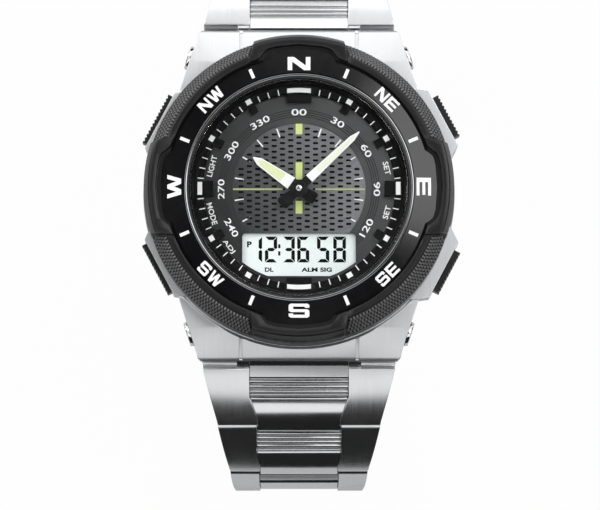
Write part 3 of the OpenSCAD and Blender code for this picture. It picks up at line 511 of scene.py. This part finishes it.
def woven_dial():
    """The sunk middle of the dial, embossed like woven carbon: satin grey threads 0.16 mm wide,
    with painted shade that darkens them on the left; the slots between them are modelled."""
    made, tree, shader, where = new_finish(
        "brass_dial_embossed_weave", Roughness=0.38, Specular_IOR_Level=0.3)
    # painted shade: the threads darker on the left, lighter towards the right
    side = add(tree, "ShaderNodeVectorMath", {0: where, 1: (0.9, 0.3, 0)}, operation="DOT_PRODUCT")
    painted_shade_fall = add(tree, "ShaderNodeMapRange", {
        "Value": side.outputs["Value"], "From Min": -9 * MM, "From Max": 9 * MM})
    shaded_ground = add(tree, "ShaderNodeMix", {
        0: painted_shade_fall.outputs[0], 6: linear("#323233"), 7: linear("#7A7A7D")}, data_type="RGBA")
    thread = add(tree, "ShaderNodeMapping", {
        "Vector": where, "Scale": (1 / (0.45 * MM), 1 / (0.16 * MM), 1)})
    weave = add(tree, "ShaderNodeTexNoise", {
        "Vector": thread.outputs[0], "Scale": 1.0, "Detail": 2.0})
    tone = add(tree, "ShaderNodeMix", {
        0: 0.45, 6: shaded_ground.outputs[2], 7: weave.outputs[0]}, data_type="RGBA", blend_type="OVERLAY")
    relief = add(tree, "ShaderNodeBump", {
        "Height": weave.outputs[0], "Strength": 1.0, "Distance": 0.03 * MM})
    tree.links.new(tone.outputs[2], shader.inputs["Base Color"])
    tree.links.new(relief.outputs[0], shader.inputs["Normal"])
    return made


def display_film():
    """Reflective film behind the display: pale grey green, very fine, with painted shade that makes
    it duller to the right.
    """
    made, tree, shader, where = new_finish("display_reflector_film", Roughness=0.5)
    # painted shade: the film paler on the left, duller to the right
    side = add(tree, "ShaderNodeVectorMath", {0: where, 1: (1, 0.2, 0)}, operation="DOT_PRODUCT")
    painted_shade_fall = add(tree, "ShaderNodeMapRange", {
        "Value": side.outputs["Value"], "From Min": -9 * MM, "From Max": 9 * MM})
    shaded_ground = add(tree, "ShaderNodeMix", {
        0: painted_shade_fall.outputs[0], 6: linear("#EEF5F3"), 7: linear("#DBE4E2")}, data_type="RGBA")
    speck = add(tree, "ShaderNodeTexNoise", {
        "Vector": where, "Scale": 1 / (0.12 * MM), "Detail": 2.0})
    tone = add(tree, "ShaderNodeMix", {
        0: 0.06, 6: shaded_ground.outputs[2], 7: speck.outputs[0]}, data_type="RGBA", blend_type="OVERLAY")
    tree.links.new(tone.outputs[2], shader.inputs["Base Color"])
    return made


def clear_glass():
    """Hardened mineral glass, polished: clear, hard reflections. Lamps shine through it."""
    made, tree, shader, where = new_finish(
        "mineral_glass_polished", Roughness=0.0, IOR=1.5, Transmission_Weight=1.0)
    shader.inputs["Base Color"].default_value = linear("#FDFEFE")
    output = [n for n in tree.nodes if n.type == "OUTPUT_MATERIAL"][0]
    ray = add(tree, "ShaderNodeLightPath")
    through = add(tree, "ShaderNodeBsdfTransparent")
    mix = add(tree, "ShaderNodeMixShader", {
        0: ray.outputs["Is Shadow Ray"], 1: shader.outputs[0], 2: through.outputs[0]})
    tree.links.new(mix.outputs[0], output.inputs["Surface"])
    return made


dial_lacquer = painted_dial()
dial_weave = woven_dial()
reflector = display_film()
glass = clear_glass()

# Polycarbonate, moulded: the minute track ring, black satin.
track_plastic = even_finish(
    "polycarbonate_black_satin", ("#050505", "#090909"), (0.3, 0.4), 0.15, 0.002,
    Specular_IOR_Level=0.15)

# Brass dial plate, black in the slots between the threads.
slot_black = even_finish(
    "brass_dial_slot_black", ("#040404", "#070707"), (0.5, 0.6), 0.1, 0.001, Specular_IOR_Level=0.1)


# Case

NECK_LOW, NECK_OUT = 12.0, 17.6     # the neck's top lies above the one and inside the other

case = dress("case_middle", satin_steel, edge=0.08)
coat(case, satin_steel, shaded_lapped_steel)
# the neck's top takes the steel darkened with painted shade
for face in case.data.polygons:
    if face.center.z > NECK_LOW * MM and face.center.xy.length < NECK_OUT * MM:
        face.material_index = 1
dress("flank_screws", buffed_steel, edge=0.12)
dress("case_back", turned_steel, edge=0.1)
dress("case_back_gasket", moulded_rubber)
dress("case_back_screws", chrome_plate, edge=0.04)
dress("crystal", glass, edge=0.08)
dress("crystal_gasket", moulded_rubber)
dress("lug_bars", buffed_steel, edge=0.05)
dress("bezel_spring", buffed_steel)

# Works inside the case

dress("movement_holder", pale_acetal, edge=0.05)
dress("circuit_board", solder_mask)
dress("battery", nickel_can, edge=0.08)
dress("battery_clip", chrome_plate, edge=0.03)
dress("motor_coil", wound_copper, edge=0.05)
dress("cannon_pinion", cut_brass)
dress("hour_wheel", cut_brass)
dress("minute_wheel", cut_brass)


# Bezel

dress("bezel_ring", moulded_resin, edge=0.12)
insert = dress("compass_insert", gloss_ring)

INSERT_TOP, INSERT_IN = 12.3, 17.4  # height of the compass ring's face at its inner edge
INSERT_FALL = math.radians(5)       # its face falls outwards
INSERT_LOW = 11.95                  # all of the face lies above this
INK_DOWN = 0.005                    # print and caps sit this deep in the face under them
PRINT = 0.03                        # print is drawn thick enough to show its edge


def cone_normals(piece, fall):
    """Exact normals on a face that falls outwards, where the solid's triangles are coarse."""
    mesh = piece.data
    normals = [corner.vector.copy() for corner in mesh.corner_normals]
    for face in mesh.polygons:
        if face.normal.z > 0.9 and face.center.z > INSERT_LOW * MM:
            for i in face.loop_indices:
                out = mesh.vertices[mesh.loops[i].vertex_index].co.xy.normalized() * math.sin(fall)
                normals[i] = Vector((out.x, out.y, math.cos(fall)))
    mesh.normals_split_custom_set(normals)


cone_normals(insert, INSERT_FALL)

SLOPE_LOW = (23.1, 9.2)     # radius and height at the slope's foot
SLOPE_TOP = (21.2, 12.2)    # and at its head
SLOPE_LONG = 3.55           # from foot to head
GUARD_END = (6.84, 22.38, 7.5, 18.15)   # straight end of a guard, across and out, foot then head
STUD_STEP = 1.4             # degrees from stud to stud in a row
STUD_ROWS = 5
ROW_START, ROW_STEP = 0.42, 0.68        # first row from the slope's foot, and row to row
STUD_WIDE, STUD_LONG = 0.2, 0.29        # half of a stud, round the bezel and up the slope
STUD_ROOM = 0.3             # a stud's centre stays this far from a guard


def grip_stud():
    """One stud of the grip, modelled flat: an eight-sided boss with a well rounded top."""
    bpy.ops.object.select_all(action="DESELECT")
    bpy.ops.mesh.primitive_cone_add(
        vertices=8, radius1=1 * MM, radius2=0.7 * MM, depth=0.3 * MM,
        location=(0, 0, 0.1 * MM))
    stud = bpy.context.object
    bpy.ops.object.transform_apply(location=True, rotation=True, scale=True)
    for face in stud.data.polygons:
        face.select = face.normal.z > 0.9
    bpy.ops.object.mode_set(mode="EDIT")
    bpy.ops.mesh.inset(thickness=0.35 * MM, depth=0.07 * MM)
    bpy.ops.mesh.select_all(action="SELECT")
    bpy.ops.transform.resize(value=(STUD_WIDE, STUD_LONG, 1))
    bpy.ops.object.mode_set(mode="OBJECT")
    only(stud)
    bpy.ops.object.shade_smooth_by_angle(angle=math.radians(75))
    return stud


def on_slope(angle, along):
    """A place on the bezel's slope: clock angle, and distance up from the foot."""
    run = Vector((SLOPE_TOP[0] - SLOPE_LOW[0], SLOPE_TOP[1] - SLOPE_LOW[1]))
    length = run.length
    run = run / length
    r, z = SLOPE_LOW[0] + run.x * along, SLOPE_LOW[1] + run.y * along
    axes = Matrix((
        (0, run.x, run.y, r * MM), (1, 0, 0, 0), (0, run.y, -run.x, z * MM), (0, 0, 0, 1)))
    return Matrix.Rotation(math.radians(angle), 4, "Z") @ axes


def bezel_grip():
    """Studs in staggered rows on the four slopes, 0.54 mm apart, up to the ends of the guards."""
    places = []
    x0, y0, x1, y1 = GUARD_END
    for row in range(STUD_ROWS):
        along = ROW_START + ROW_STEP * row
        r = SLOPE_LOW[0] + (SLOPE_TOP[0] - SLOPE_LOW[0]) * along / SLOPE_LONG
        for k in range(-20, 21):
            angle = STUD_STEP * (k + 0.5 * (row % 2))
            from_guard = math.radians(45 - abs(angle))
            beside, out = r * math.sin(from_guard), r * math.cos(from_guard)
            if beside - STUD_ROOM > x0 + (x1 - x0) * (y0 - out) / (y0 - y1):
                places += [on_slope(90 * quarter + 45 + angle, along) for quarter in range(4)]
    return copies(grip_stud(), places, "bezel_grip")


# the studs take the resin paled as a painted highlight
on_watch(bezel_grip(), "bezel", "black_resin", highlit_resin)

# Compass ring lettering, white: letters, clock angle, width, height, turn
LETTERS = (
    ("N", 0, 3.42, 2.05, 0), ("NE", 45, 3.8, 1.85, 0),
    ("E", 90, 2.7, 2.18, 0), ("SE", 135, 3.7, 1.85, 180),
    ("S", 180, 3.1, 2.1, 180), ("SW", 225, 4.2, 1.85, 180),
    ("W", 270, 3.6, 2.1, 0), ("NW", 315, 4.3, 1.85, 0))
LETTERS_AT, BARS_AT = 18.75, 18.6   # radius of their middles


def on_insert(radius, angle, face=0):
    """A place on the compass ring, whose face falls outwards."""
    z = INSERT_TOP - (radius - INSERT_IN) * math.tan(INSERT_FALL) - INK_DOWN
    fall = INSERT_FALL if face else -INSERT_FALL
    return ringed(radius, angle, z, face) @ Matrix.Rotation(fall, 4, "X")


# Wide square capitals, as outlines on a unit square
CAPITALS = {
    "N": ((0, 0), (.2, 0), (.2, .66), (.72, 0), (1, 0), (1, 1), (.8, 1), (.8, .34), (.28, 1),
          (0, 1)),
    "E": ((0, 0), (1, 0), (1, .2), (.24, .2), (.24, .4), (.96, .4), (.96, .6), (.24, .6), (.24, .8),
          (1, .8), (1, 1), (0, 1)),
    "W": ((.17, 0), (.38, 0), (.5, .5), (.62, 0), (.83, 0), (1, 1), (.83, 1), (.72, .36), (.58, 1),
          (.42, 1), (.28, .36), (.17, 1), (0, 1)),
    "S": ((.1, 0), (.9, 0), (1, .1), (1, .5), (.9, .6), (.22, .6), (.22, .79), (.78, .79),
          (.78, .7), (1, .7), (1, .9), (.9, 1), (.1, 1), (0, .9), (0, .5), (.1, .4), (.78, .4),
          (.78, .21), (.22, .21), (.22, .3), (0, .3), (0, .1))}
BETWEEN = 0.3       # gap between two letters
WIDE_W = 1.25       # a W is this much wider than its neighbour


def compass_letters():
    """The eight directions, each drawn to the width and height that it has on the watch."""
    made = []
    for text, angle, wide, high, face in LETTERS:
        shares = [WIDE_W if letter == "W" else 1 for letter in text]
        share = (wide - BETWEEN * (len(text) - 1)) / sum(shares)
        x = -wide / 2
        for letter, part in zip(text, shares):
            corners = [(x + part * share * cx, high * (cy - 0.5)) for cx, cy in CAPITALS[letter]]
            flat = slab("letter_" + letter, corners, 0, PRINT)
            made.append(place(flat, on_insert(LETTERS_AT, angle, face)))
            x += part * share + BETWEEN
    return joined(made, "compass_letters")


def compass_bars():
    """A bar halfway between each two directions."""
    one = bar("bar", 0.5, 1.5, 0, PRINT, edge=0.01)
    return copies(one, [on_insert(BARS_AT, 22.5 + 45 * k) for k in range(8)], "compass_bars")


on_watch(compass_letters(), "bezel", "hands", white_ink)
on_watch(compass_bars(), "bezel", "hands", white_ink)


# Minute track

dress("chapter_ring", track_plastic, edge=0.03)
TRACK_BED = 9.9 - INK_DOWN
BLOCK_BED = 10.05 - INK_DOWN
CAP = 0.04          # thickness of a cap


def minute_ticks():
    """A short line for each minute between the hour blocks."""
    one = bar("tick", 0.15, 0.9, 0, PRINT)
    places = [ringed(14.9, 6 * k, TRACK_BED) for k in range(60) if k % 5]
    return copies(one, places, "minute_ticks")


def hour_caps():
    """White caps on the hour blocks: curved at 12 and 6, straight at 3 and 9, squares between."""
    inner, outer, half = 14.65, 15.33, 1.79
    across = [-half + half * k / 4 for k in range(9)]
    low = [(x, math.sqrt(inner ** 2 - x ** 2)) for x in across]
    high = [(x, math.sqrt(outer ** 2 - x ** 2)) for x in reversed(across)]
    curved = slab("cap", low + high, 0, CAP)
    first = copies(curved, [spot(0, 0, BLOCK_BED, a) for a in (0, 180)], "caps_12_6")
    straight = bar("cap", 1.95, 0.7, 0, CAP)
    second = copies(straight, [ringed(14.95, a, BLOCK_BED) for a in (90, 270)], "caps_3_9")
    square = bar("cap", 0.86, 0.76, 0, CAP)
    places = [ringed(15.2, 30 * k, BLOCK_BED) for k in range(12) if k % 3]
    third = copies(square, places, "caps_between")
    return joined([first, second, third], "hour_caps")


on_watch(minute_ticks(), "case", "hands", white_ink)
on_watch(hour_caps(), "case", "hands", white_ink)


# Dial

SUNK, SUNK_OUT = 9.08, 10.04        # height and radius of the dial's sunk middle
SUNK_BED, DIAL_BED = SUNK - 0.004, DIAL - 0.004     # print sits a little in the face
WINDOW_HALF, WINDOW_TOP = 8.55, -6.7


def dial_faces(piece):
    """The sunk middle shows the weave, all else the lacquer."""
    for face in piece.data.polygons:
        middle = face.center
        level = face.normal.z > 0.9 and abs(middle.z - SUNK * MM) < 0.02 * MM
        if level and middle.xy.length < SUNK_OUT * MM:
            face.material_index = 1


dial = dress("dial", dial_lacquer, edge=0.02)
coat(dial, dial_lacquer, dial_weave)
dial_faces(dial)


def weave_slots():
    """Dark slots between the threads: 0.9 by 0.34 mm, staggered in columns 1.25 mm apart."""
    outline = [(-0.45, 0), (-0.3, -0.17), (0.3, -0.17), (0.45, 0), (0.3, 0.17), (-0.3, 0.17)]
    one = slab("slot", outline, 0, PRINT)
    places = []
    for i in range(-8, 9):
        for j in range(-24, 25):
            x, y = 1.25 * i, 0.44 * j
            on_dial = math.hypot(abs(x) + 0.4, abs(y) + 0.15) < 9.95
            under_hub = math.hypot(x, y) <= 1.6
            in_window = y < WINDOW_TOP + 0.35 and abs(x) < WINDOW_HALF + 0.6
            if (i + j) % 2 == 0 and on_dial and not in_window and not under_hub:
                places.append(spot(x, y, SUNK_BED))
    return copies(one, places, "weave_slots")


on_watch(weave_slots(), "case", "dial_black", slot_black)


def dial_strokes():
    """White strokes at the rim of the sunk middle, six a side."""
    one = bar("stroke", 0.2, 1.35, 0, PRINT)
    angles = [side * angle for angle in (20, 40, 60, 80, 100, 120) for side in (-1, 1)]
    return copies(one, [ringed(9.15, angle, SUNK_BED) for angle in angles], "dial_strokes")


on_watch(dial_strokes(), "case", "hands", white_ink)


def lume_cross():
    """Lume down the middle of the dial, in three bars."""
    upright = [bar("lume", 1.02, high, SUNK_BED, 0.06, edge=0.015) for high in (1.62, 2.6, 1.95)]
    for piece, y in zip(upright, (9.2, 2.8, -2.75)):
        place(piece, spot(0, y, 0))
    return joined(upright, "lume_cross")


def lume_line():
    """A thin line of lume across the dial, left and right of the centre."""
    one = bar("line", 7.5, 0.24, SUNK_BED, 0.05, edge=0.015)
    return copies(one, [spot(x, 0, 0) for x in (-6.2, 6.2)], "lume_line")


on_watch(lume_cross(), "case", "hands", green_lume)
on_watch(lume_line(), "case", "hands", thin_lume)

# Printed degrees: text, clock angle, width, turn
DEGREES = (
    ("00", 0, 2.3, 0), ("30", 30, 2.1, 0), ("60", 60, 2.1, 0),
    ("90", 90, 2.15, 0), ("120", 120, 2.9, 180), ("240", 240, 3.0, 180),
    ("270", 270, 3.0, 0), ("300", 300, 3.1, 0), ("330", 330, 3.1, 0))
DEGREES_AT = 11.75

# What the pushers do, printed beside them: text, clock angle, radius, width, turn
USES = (
    ("LIGHT", 285, 13.6, 3.3, 0), ("MODE", 254, 13.65, 3.4, 180),
    ("ADJ", 230.5, 13.75, 2.4, 180), ("SET", 76.5, 13.62, 2.05, 0),
    ("SET", 105, 13.7, 2.05, 180))


def dial_print():
    """Degrees and words on the dial, each to its own width, all 0.025 mm thick."""
    made = []
    for text, angle, wide, face in DEGREES:
        at = ringed(DEGREES_AT, angle, DIAL_BED, face)
        made.append(words("degrees", text, 1.0, wide, at, bold=0.012, thick=0.025))
    for text, angle, radius, wide, face in USES:
        at = ringed(radius, angle, DIAL_BED, face)
        made.append(words("use", text, 0.84, wide, at, bold=0.015, thick=0.025))
    return joined(made, "dial_print")


on_watch(dial_print(), "case", "hands", white_ink)


# Display

dress("lcd_panel", reflector, edge=0.03)
PANEL_TOP = 8.65
PANEL_BED = PANEL_TOP - 0.003
FIGURE_THICK = 0.02
STROKE, STROKE_GAP = 0.52, 0.05         # width of a segment, and the gap between two
FIGURE_TOP, FIGURE_LOW = 236.9, 262.6   # in points of the photograph

# Segments that each figure lights
LIT = {"1": "bc", "2": "abged", "3": "abgcd", "6": "afgecd", "5": "afgcd", "8": "abcdefg"}

# The figures, with their left and right sides in points of the photograph
FIGURES = (
    ("1", 250, 262.2), ("2", 265, 277.2), ("3", 283, 294.8),
    ("6", 297.2, 309.2), ("5", 317, 329.2), ("8", 333.2, 345.8))
COLON = (278.2, 280.4, ((244.5, 248.5), (251.5, 255.8)))

# Small signs: text, middle in points of the photograph, width, height
SIGNS = (
    ("P", 249.5, 244.6, 0.72, 0.9), ("DL", 269.3, 269.8, 1.3, 0.66),
    ("ALM SIG", 316.6, 269.8, 4.6, 0.66))


def seven_figure(digit, left, right):
    """One seven-segment figure between two sides, in points of the photograph."""
    x0, y1 = seen(left, FIGURE_TOP, PANEL_TOP)
    x1, y0 = seen(right, FIGURE_LOW, PANEL_TOP)
    t, gap = STROKE, STROKE_GAP
    mid = (y0 + y1) / 2
    shapes = {
        "a": [(x0 + gap, y1), (x1 - gap, y1), (x1 - t - gap, y1 - t), (x0 + t + gap, y1 - t)],
        "d": [(x0 + gap, y0), (x0 + t + gap, y0 + t), (x1 - t - gap, y0 + t), (x1 - gap, y0)],
        "g": [(x0 + t * 0.6, mid), (x0 + t * 1.15, mid - t / 2), (x1 - t * 1.15, mid - t / 2),
              (x1 - t * 0.6, mid), (x1 - t * 1.15, mid + t / 2), (x0 + t * 1.15, mid + t / 2)],
        "f": [(x0, y1 - gap), (x0 + t, y1 - t - gap), (x0 + t, mid + t * 0.55),
              (x0 + t * 0.5, mid + gap), (x0, mid + t * 0.4)],
        "e": [(x0, y0 + gap), (x0, mid - t * 0.4), (x0 + t * 0.5, mid - gap),
              (x0 + t, mid - t * 0.55), (x0 + t, y0 + t + gap)],
        "b": [(x1, y1 - gap), (x1, mid + t * 0.4), (x1 - t * 0.5, mid + gap),
              (x1 - t, mid + t * 0.55), (x1 - t, y1 - t - gap)],
        "c": [(x1, y0 + gap), (x1 - t, y0 + t + gap), (x1 - t, mid - t * 0.55),
              (x1 - t * 0.5, mid - gap), (x1, mid - t * 0.4)]}
    return [slab("segment", shapes[s], PANEL_BED, FIGURE_THICK) for s in LIT[digit]]


def display_figures():
    """The time in large figures, with its colon, and the small signs beside and below it."""
    made = []
    for digit, left, right in FIGURES:
        made += seven_figure(digit, left, right)
    for top, low in COLON[2]:
        x0, y1 = seen(COLON[0], top, PANEL_TOP)
        x1, y0 = seen(COLON[1], low, PANEL_TOP)
        dot = [(x0, y0), (x1, y0), (x1, y1), (x0, y1)]
        made.append(slab("colon", dot, PANEL_BED, FIGURE_THICK))
    for text, x, y, wide, high in SIGNS:
        at = spot(*seen(x, y, PANEL_TOP), PANEL_BED)
        made.append(words("sign", text, high, wide, at, bold=0.04, thick=FIGURE_THICK))
    return joined(made, "display_figures")


on_watch(display_figures(), "case", "lcd", crystal_black)


# Hands

MINUTE_AT, HOUR_AT = 46.7, 304.5        # clock angles of the hands at rest
MINUTE_TOP, HOUR_TOP = 10.42, 9.92      # heights of their faces
HAND_INK_DOWN = 0.004
LUME_UP = 0.026                         # lume lies on the white of the blade
TIP_HALF = 0.08                         # half the width of a blade's tip
HUB_R = 0.97
dress("minute_hand", black_lacquer, edge=0.04)
dress("hour_hand", black_lacquer, edge=0.04)


def blade(name, start, shoulder, tip, half, narrow, top, angle):
    """The painted blade of a hand: straight base, slow taper, then the point."""
    corners = [
        (-half, start), (half, start), (narrow, shoulder),
        (TIP_HALF, tip), (-TIP_HALF, tip), (-narrow, shoulder)]
    piece = slab(name, corners, top - HAND_INK_DOWN, PRINT)
    return place(piece, spot(0, 0, 0, angle))


on_watch(
    blade("minute_blade", 2.1, 11.0, 12.5, 0.69, 0.45, MINUTE_TOP, MINUTE_AT),
    "minute_hand", "hands", white_ink)
on_watch(
    blade("minute_lume", 3.9, 10.7, 11.6, 0.44, 0.27, MINUTE_TOP + LUME_UP, MINUTE_AT),
    "minute_hand", "hands", pale_lume)
on_watch(
    blade("hour_blade", 1.4, 7.25, 8.4, 1.02, 0.61, HOUR_TOP, HOUR_AT),
    "hour_hand", "hands", white_ink)
on_watch(
    blade("hour_lume", 2.9, 6.8, 7.5, 0.74, 0.46, HOUR_TOP + LUME_UP, HOUR_AT),
    "hour_hand", "hands", hour_lume)


def hub_cover():
    """Black disc pressed over the minute hand's hub, round the bright end of the post."""
    turns = [math.radians(10 * k) for k in range(36)]
    rim = [(HUB_R * math.cos(turn), HUB_R * math.sin(turn)) for turn in turns]
    cover = slab("hub_cover", rim, MINUTE_TOP - HAND_INK_DOWN, 0.1, edge=0.03)
    smooth(cover)
    return cover


on_watch(hub_cover(), "minute_hand", "hands", black_lacquer)


def centre_cap():
    """The bright end of the post that carries the hands: a turned button with a dimple."""
    bpy.ops.object.select_all(action="DESELECT")
    bpy.ops.mesh.primitive_cylinder_add(
        vertices=32, radius=0.5 * MM, depth=0.14 * MM, location=(0, 0, 10.56 * MM))
    cap = bpy.context.object
    cap.name = "centre_cap"
    bpy.ops.object.transform_apply(location=True, rotation=True, scale=True)
    for face in cap.data.polygons:
        face.select = face.normal.z > 0.9
    bpy.ops.object.mode_set(mode="EDIT")
    bpy.ops.mesh.inset(thickness=0.22 * MM, depth=0)
    bpy.ops.mesh.inset(thickness=0.06 * MM, depth=-0.05 * MM)
    bpy.ops.object.mode_set(mode="OBJECT")
    break_edges(cap, 0.03)
    smooth(cap)
    return cap


on_watch(centre_cap(), "case", "hard_steel", chrome_plate)


# Pushers

for hour in (2, 4, 8, 10):
    dress("pusher_%dh" % hour, moulded_resin, edge=0.06)


# Bracelet and clasp

for side in ("12h", "6h"):
    for number in range(1, 8):
        dress("link_%s_%d_sides" % (side, number), brushed_steel, edge=0.12)
        dress("link_%s_%d_centre" % (side, number), fine_steel, edge=0.06)

dress("base_blade", brushed_steel, edge=0.08)
dress("middle_blade", brushed_steel, edge=0.08)
dress("clasp_cover", brushed_steel, edge=0.12)
dress("safety_latch", buffed_steel, edge=0.1)


# Studio, in metres

FLOOR_WIDE = 0.36
FLOOR_DOWN = 0.00002    # the floor lies this far under the clasp
FLOOR_WHITE = 0.97      # share of plain white in the floor, the rest takes light and shadow
ROOM_LEVEL = 0.02       # brightness of the room away from its soft boxes

# Soft boxes of the studio, by direction: sideways from and to, up the picture from and to, width
# of the soft rim, brightness. None stands straight above, where the glass would mirror it.
SOFT_BOXES = (
    (0.1, 0.75, 0.04, 0.45, 0.04, 2.8),
    (-0.9, 0.9, -0.6, -0.07, 0.08, 1.3),
    (-0.8, 0.8, 0.34, 0.95, 0.05, 1.3),
    (-0.9, -0.2, -0.15, 0.6, 0.1, 1.0))

# Lamps, each turned to the watch: name, place, width, power in watts
LAMPS = (
    ("lamp_left", (-0.5, 0.38, 0.36), 0.12, 1.2),
    ("lamp_right", (0.42, 0.1, 0.5), 0.3, 0.5),
    ("lamp_back", (-0.05, 0.7, 0.45), 0.5, 0.6))


def pale_floor():
    """A pale floor that shows as white behind the watch and keeps part of its shadow."""
    made = bpy.data.materials.new("floor_painted_board_white")
    made.use_nodes = True
    tree = made.node_tree
    tree.nodes.clear()
    where = add(tree, "ShaderNodeTexCoord").outputs["Object"]
    fibre = add(tree, "ShaderNodeTexNoise", {"Vector": where, "Scale": 40.0, "Detail": 3.0})
    tone = add(tree, "ShaderNodeMix", {
        0: fibre.outputs[0], 6: linear("#CCCCCC"), 7: linear("#D2D2D2")}, data_type="RGBA")
    board = add(tree, "ShaderNodeBsdfDiffuse", {"Color": tone.outputs[2]})
    bright = add(tree, "ShaderNodeEmission", {"Color": (1, 1, 1, 1), "Strength": 1.0})
    ray = add(tree, "ShaderNodeLightPath")
    any_of = add(tree, "ShaderNodeMath", {
        0: ray.outputs["Is Camera Ray"],
        1: ray.outputs["Is Transmission Ray"]}, operation="MAXIMUM")
    share = add(tree, "ShaderNodeMath", {
        0: any_of.outputs[0], 1: FLOOR_WHITE}, operation="MULTIPLY")
    mix = add(tree, "ShaderNodeMixShader", {
        0: share.outputs[0], 1: board.outputs[0], 2: bright.outputs[0]})
    add(tree, "ShaderNodeOutputMaterial", {"Surface": mix.outputs[0]})
    return made


def studio():
    """Floor under the clasp, a dim room with large soft boxes, and three lamps."""
    bpy.ops.object.select_all(action="DESELECT")
    bpy.ops.mesh.primitive_plane_add(size=FLOOR_WIDE)
    floor = bpy.context.object
    floor.name = "floor"
    place(floor, Matrix.Translation((0, 0, cad_box[0][2] - FLOOR_DOWN)))
    coat(floor, pale_floor())

    world = bpy.data.worlds.new("studio_room")
    scene.world = world
    world.use_nodes = True
    tree = world.node_tree
    tree.nodes.clear()
    way = add(tree, "ShaderNodeTexCoord").outputs["Generated"]
    split = add(tree, "ShaderNodeSeparateXYZ", {0: way})
    level = add(tree, "ShaderNodeValue")
    level.outputs[0].default_value = ROOM_LEVEL
    for left, right, low, high, rim, strength in SOFT_BOXES:
        glow = add(tree, "ShaderNodeValue")
        glow.outputs[0].default_value = strength
        for axis, edge, inside in (
                ("X", left, left + rim), ("X", right, right - rim),
                ("Y", low, low + rim), ("Y", high, high - rim)):
            side = add(tree, "ShaderNodeMapRange", {
                "Value": split.outputs[axis], "From Min": edge, "From Max": inside},
                interpolation_type="SMOOTHSTEP")
            glow = add(tree, "ShaderNodeMath", {
                0: glow.outputs[0], 1: side.outputs[0]}, operation="MULTIPLY")
        level = add(tree, "ShaderNodeMath", {
            0: level.outputs[0], 1: glow.outputs[0]}, operation="ADD")
    room = add(tree, "ShaderNodeBackground", {
        "Color": (1, 1, 1, 1), "Strength": level.outputs[0]})
    behind = add(tree, "ShaderNodeBackground", {"Color": (1, 1, 1, 1), "Strength": 1.0})
    ray = add(tree, "ShaderNodeLightPath")
    mix = add(tree, "ShaderNodeMixShader", {
        0: ray.outputs["Is Camera Ray"], 1: room.outputs[0], 2: behind.outputs[0]})
    add(tree, "ShaderNodeOutputWorld", {"Surface": mix.outputs[0]})

    for name, at, size, power in LAMPS:
        bpy.ops.object.light_add(type="AREA", location=at)
        lamp = bpy.context.object
        lamp.name = name
        lamp.data.size = size
        lamp.data.energy = power
        lamp.rotation_euler = Vector(at).to_track_quat("Z", "Y").to_euler()


studio()

bpy.context.view_layer.update()
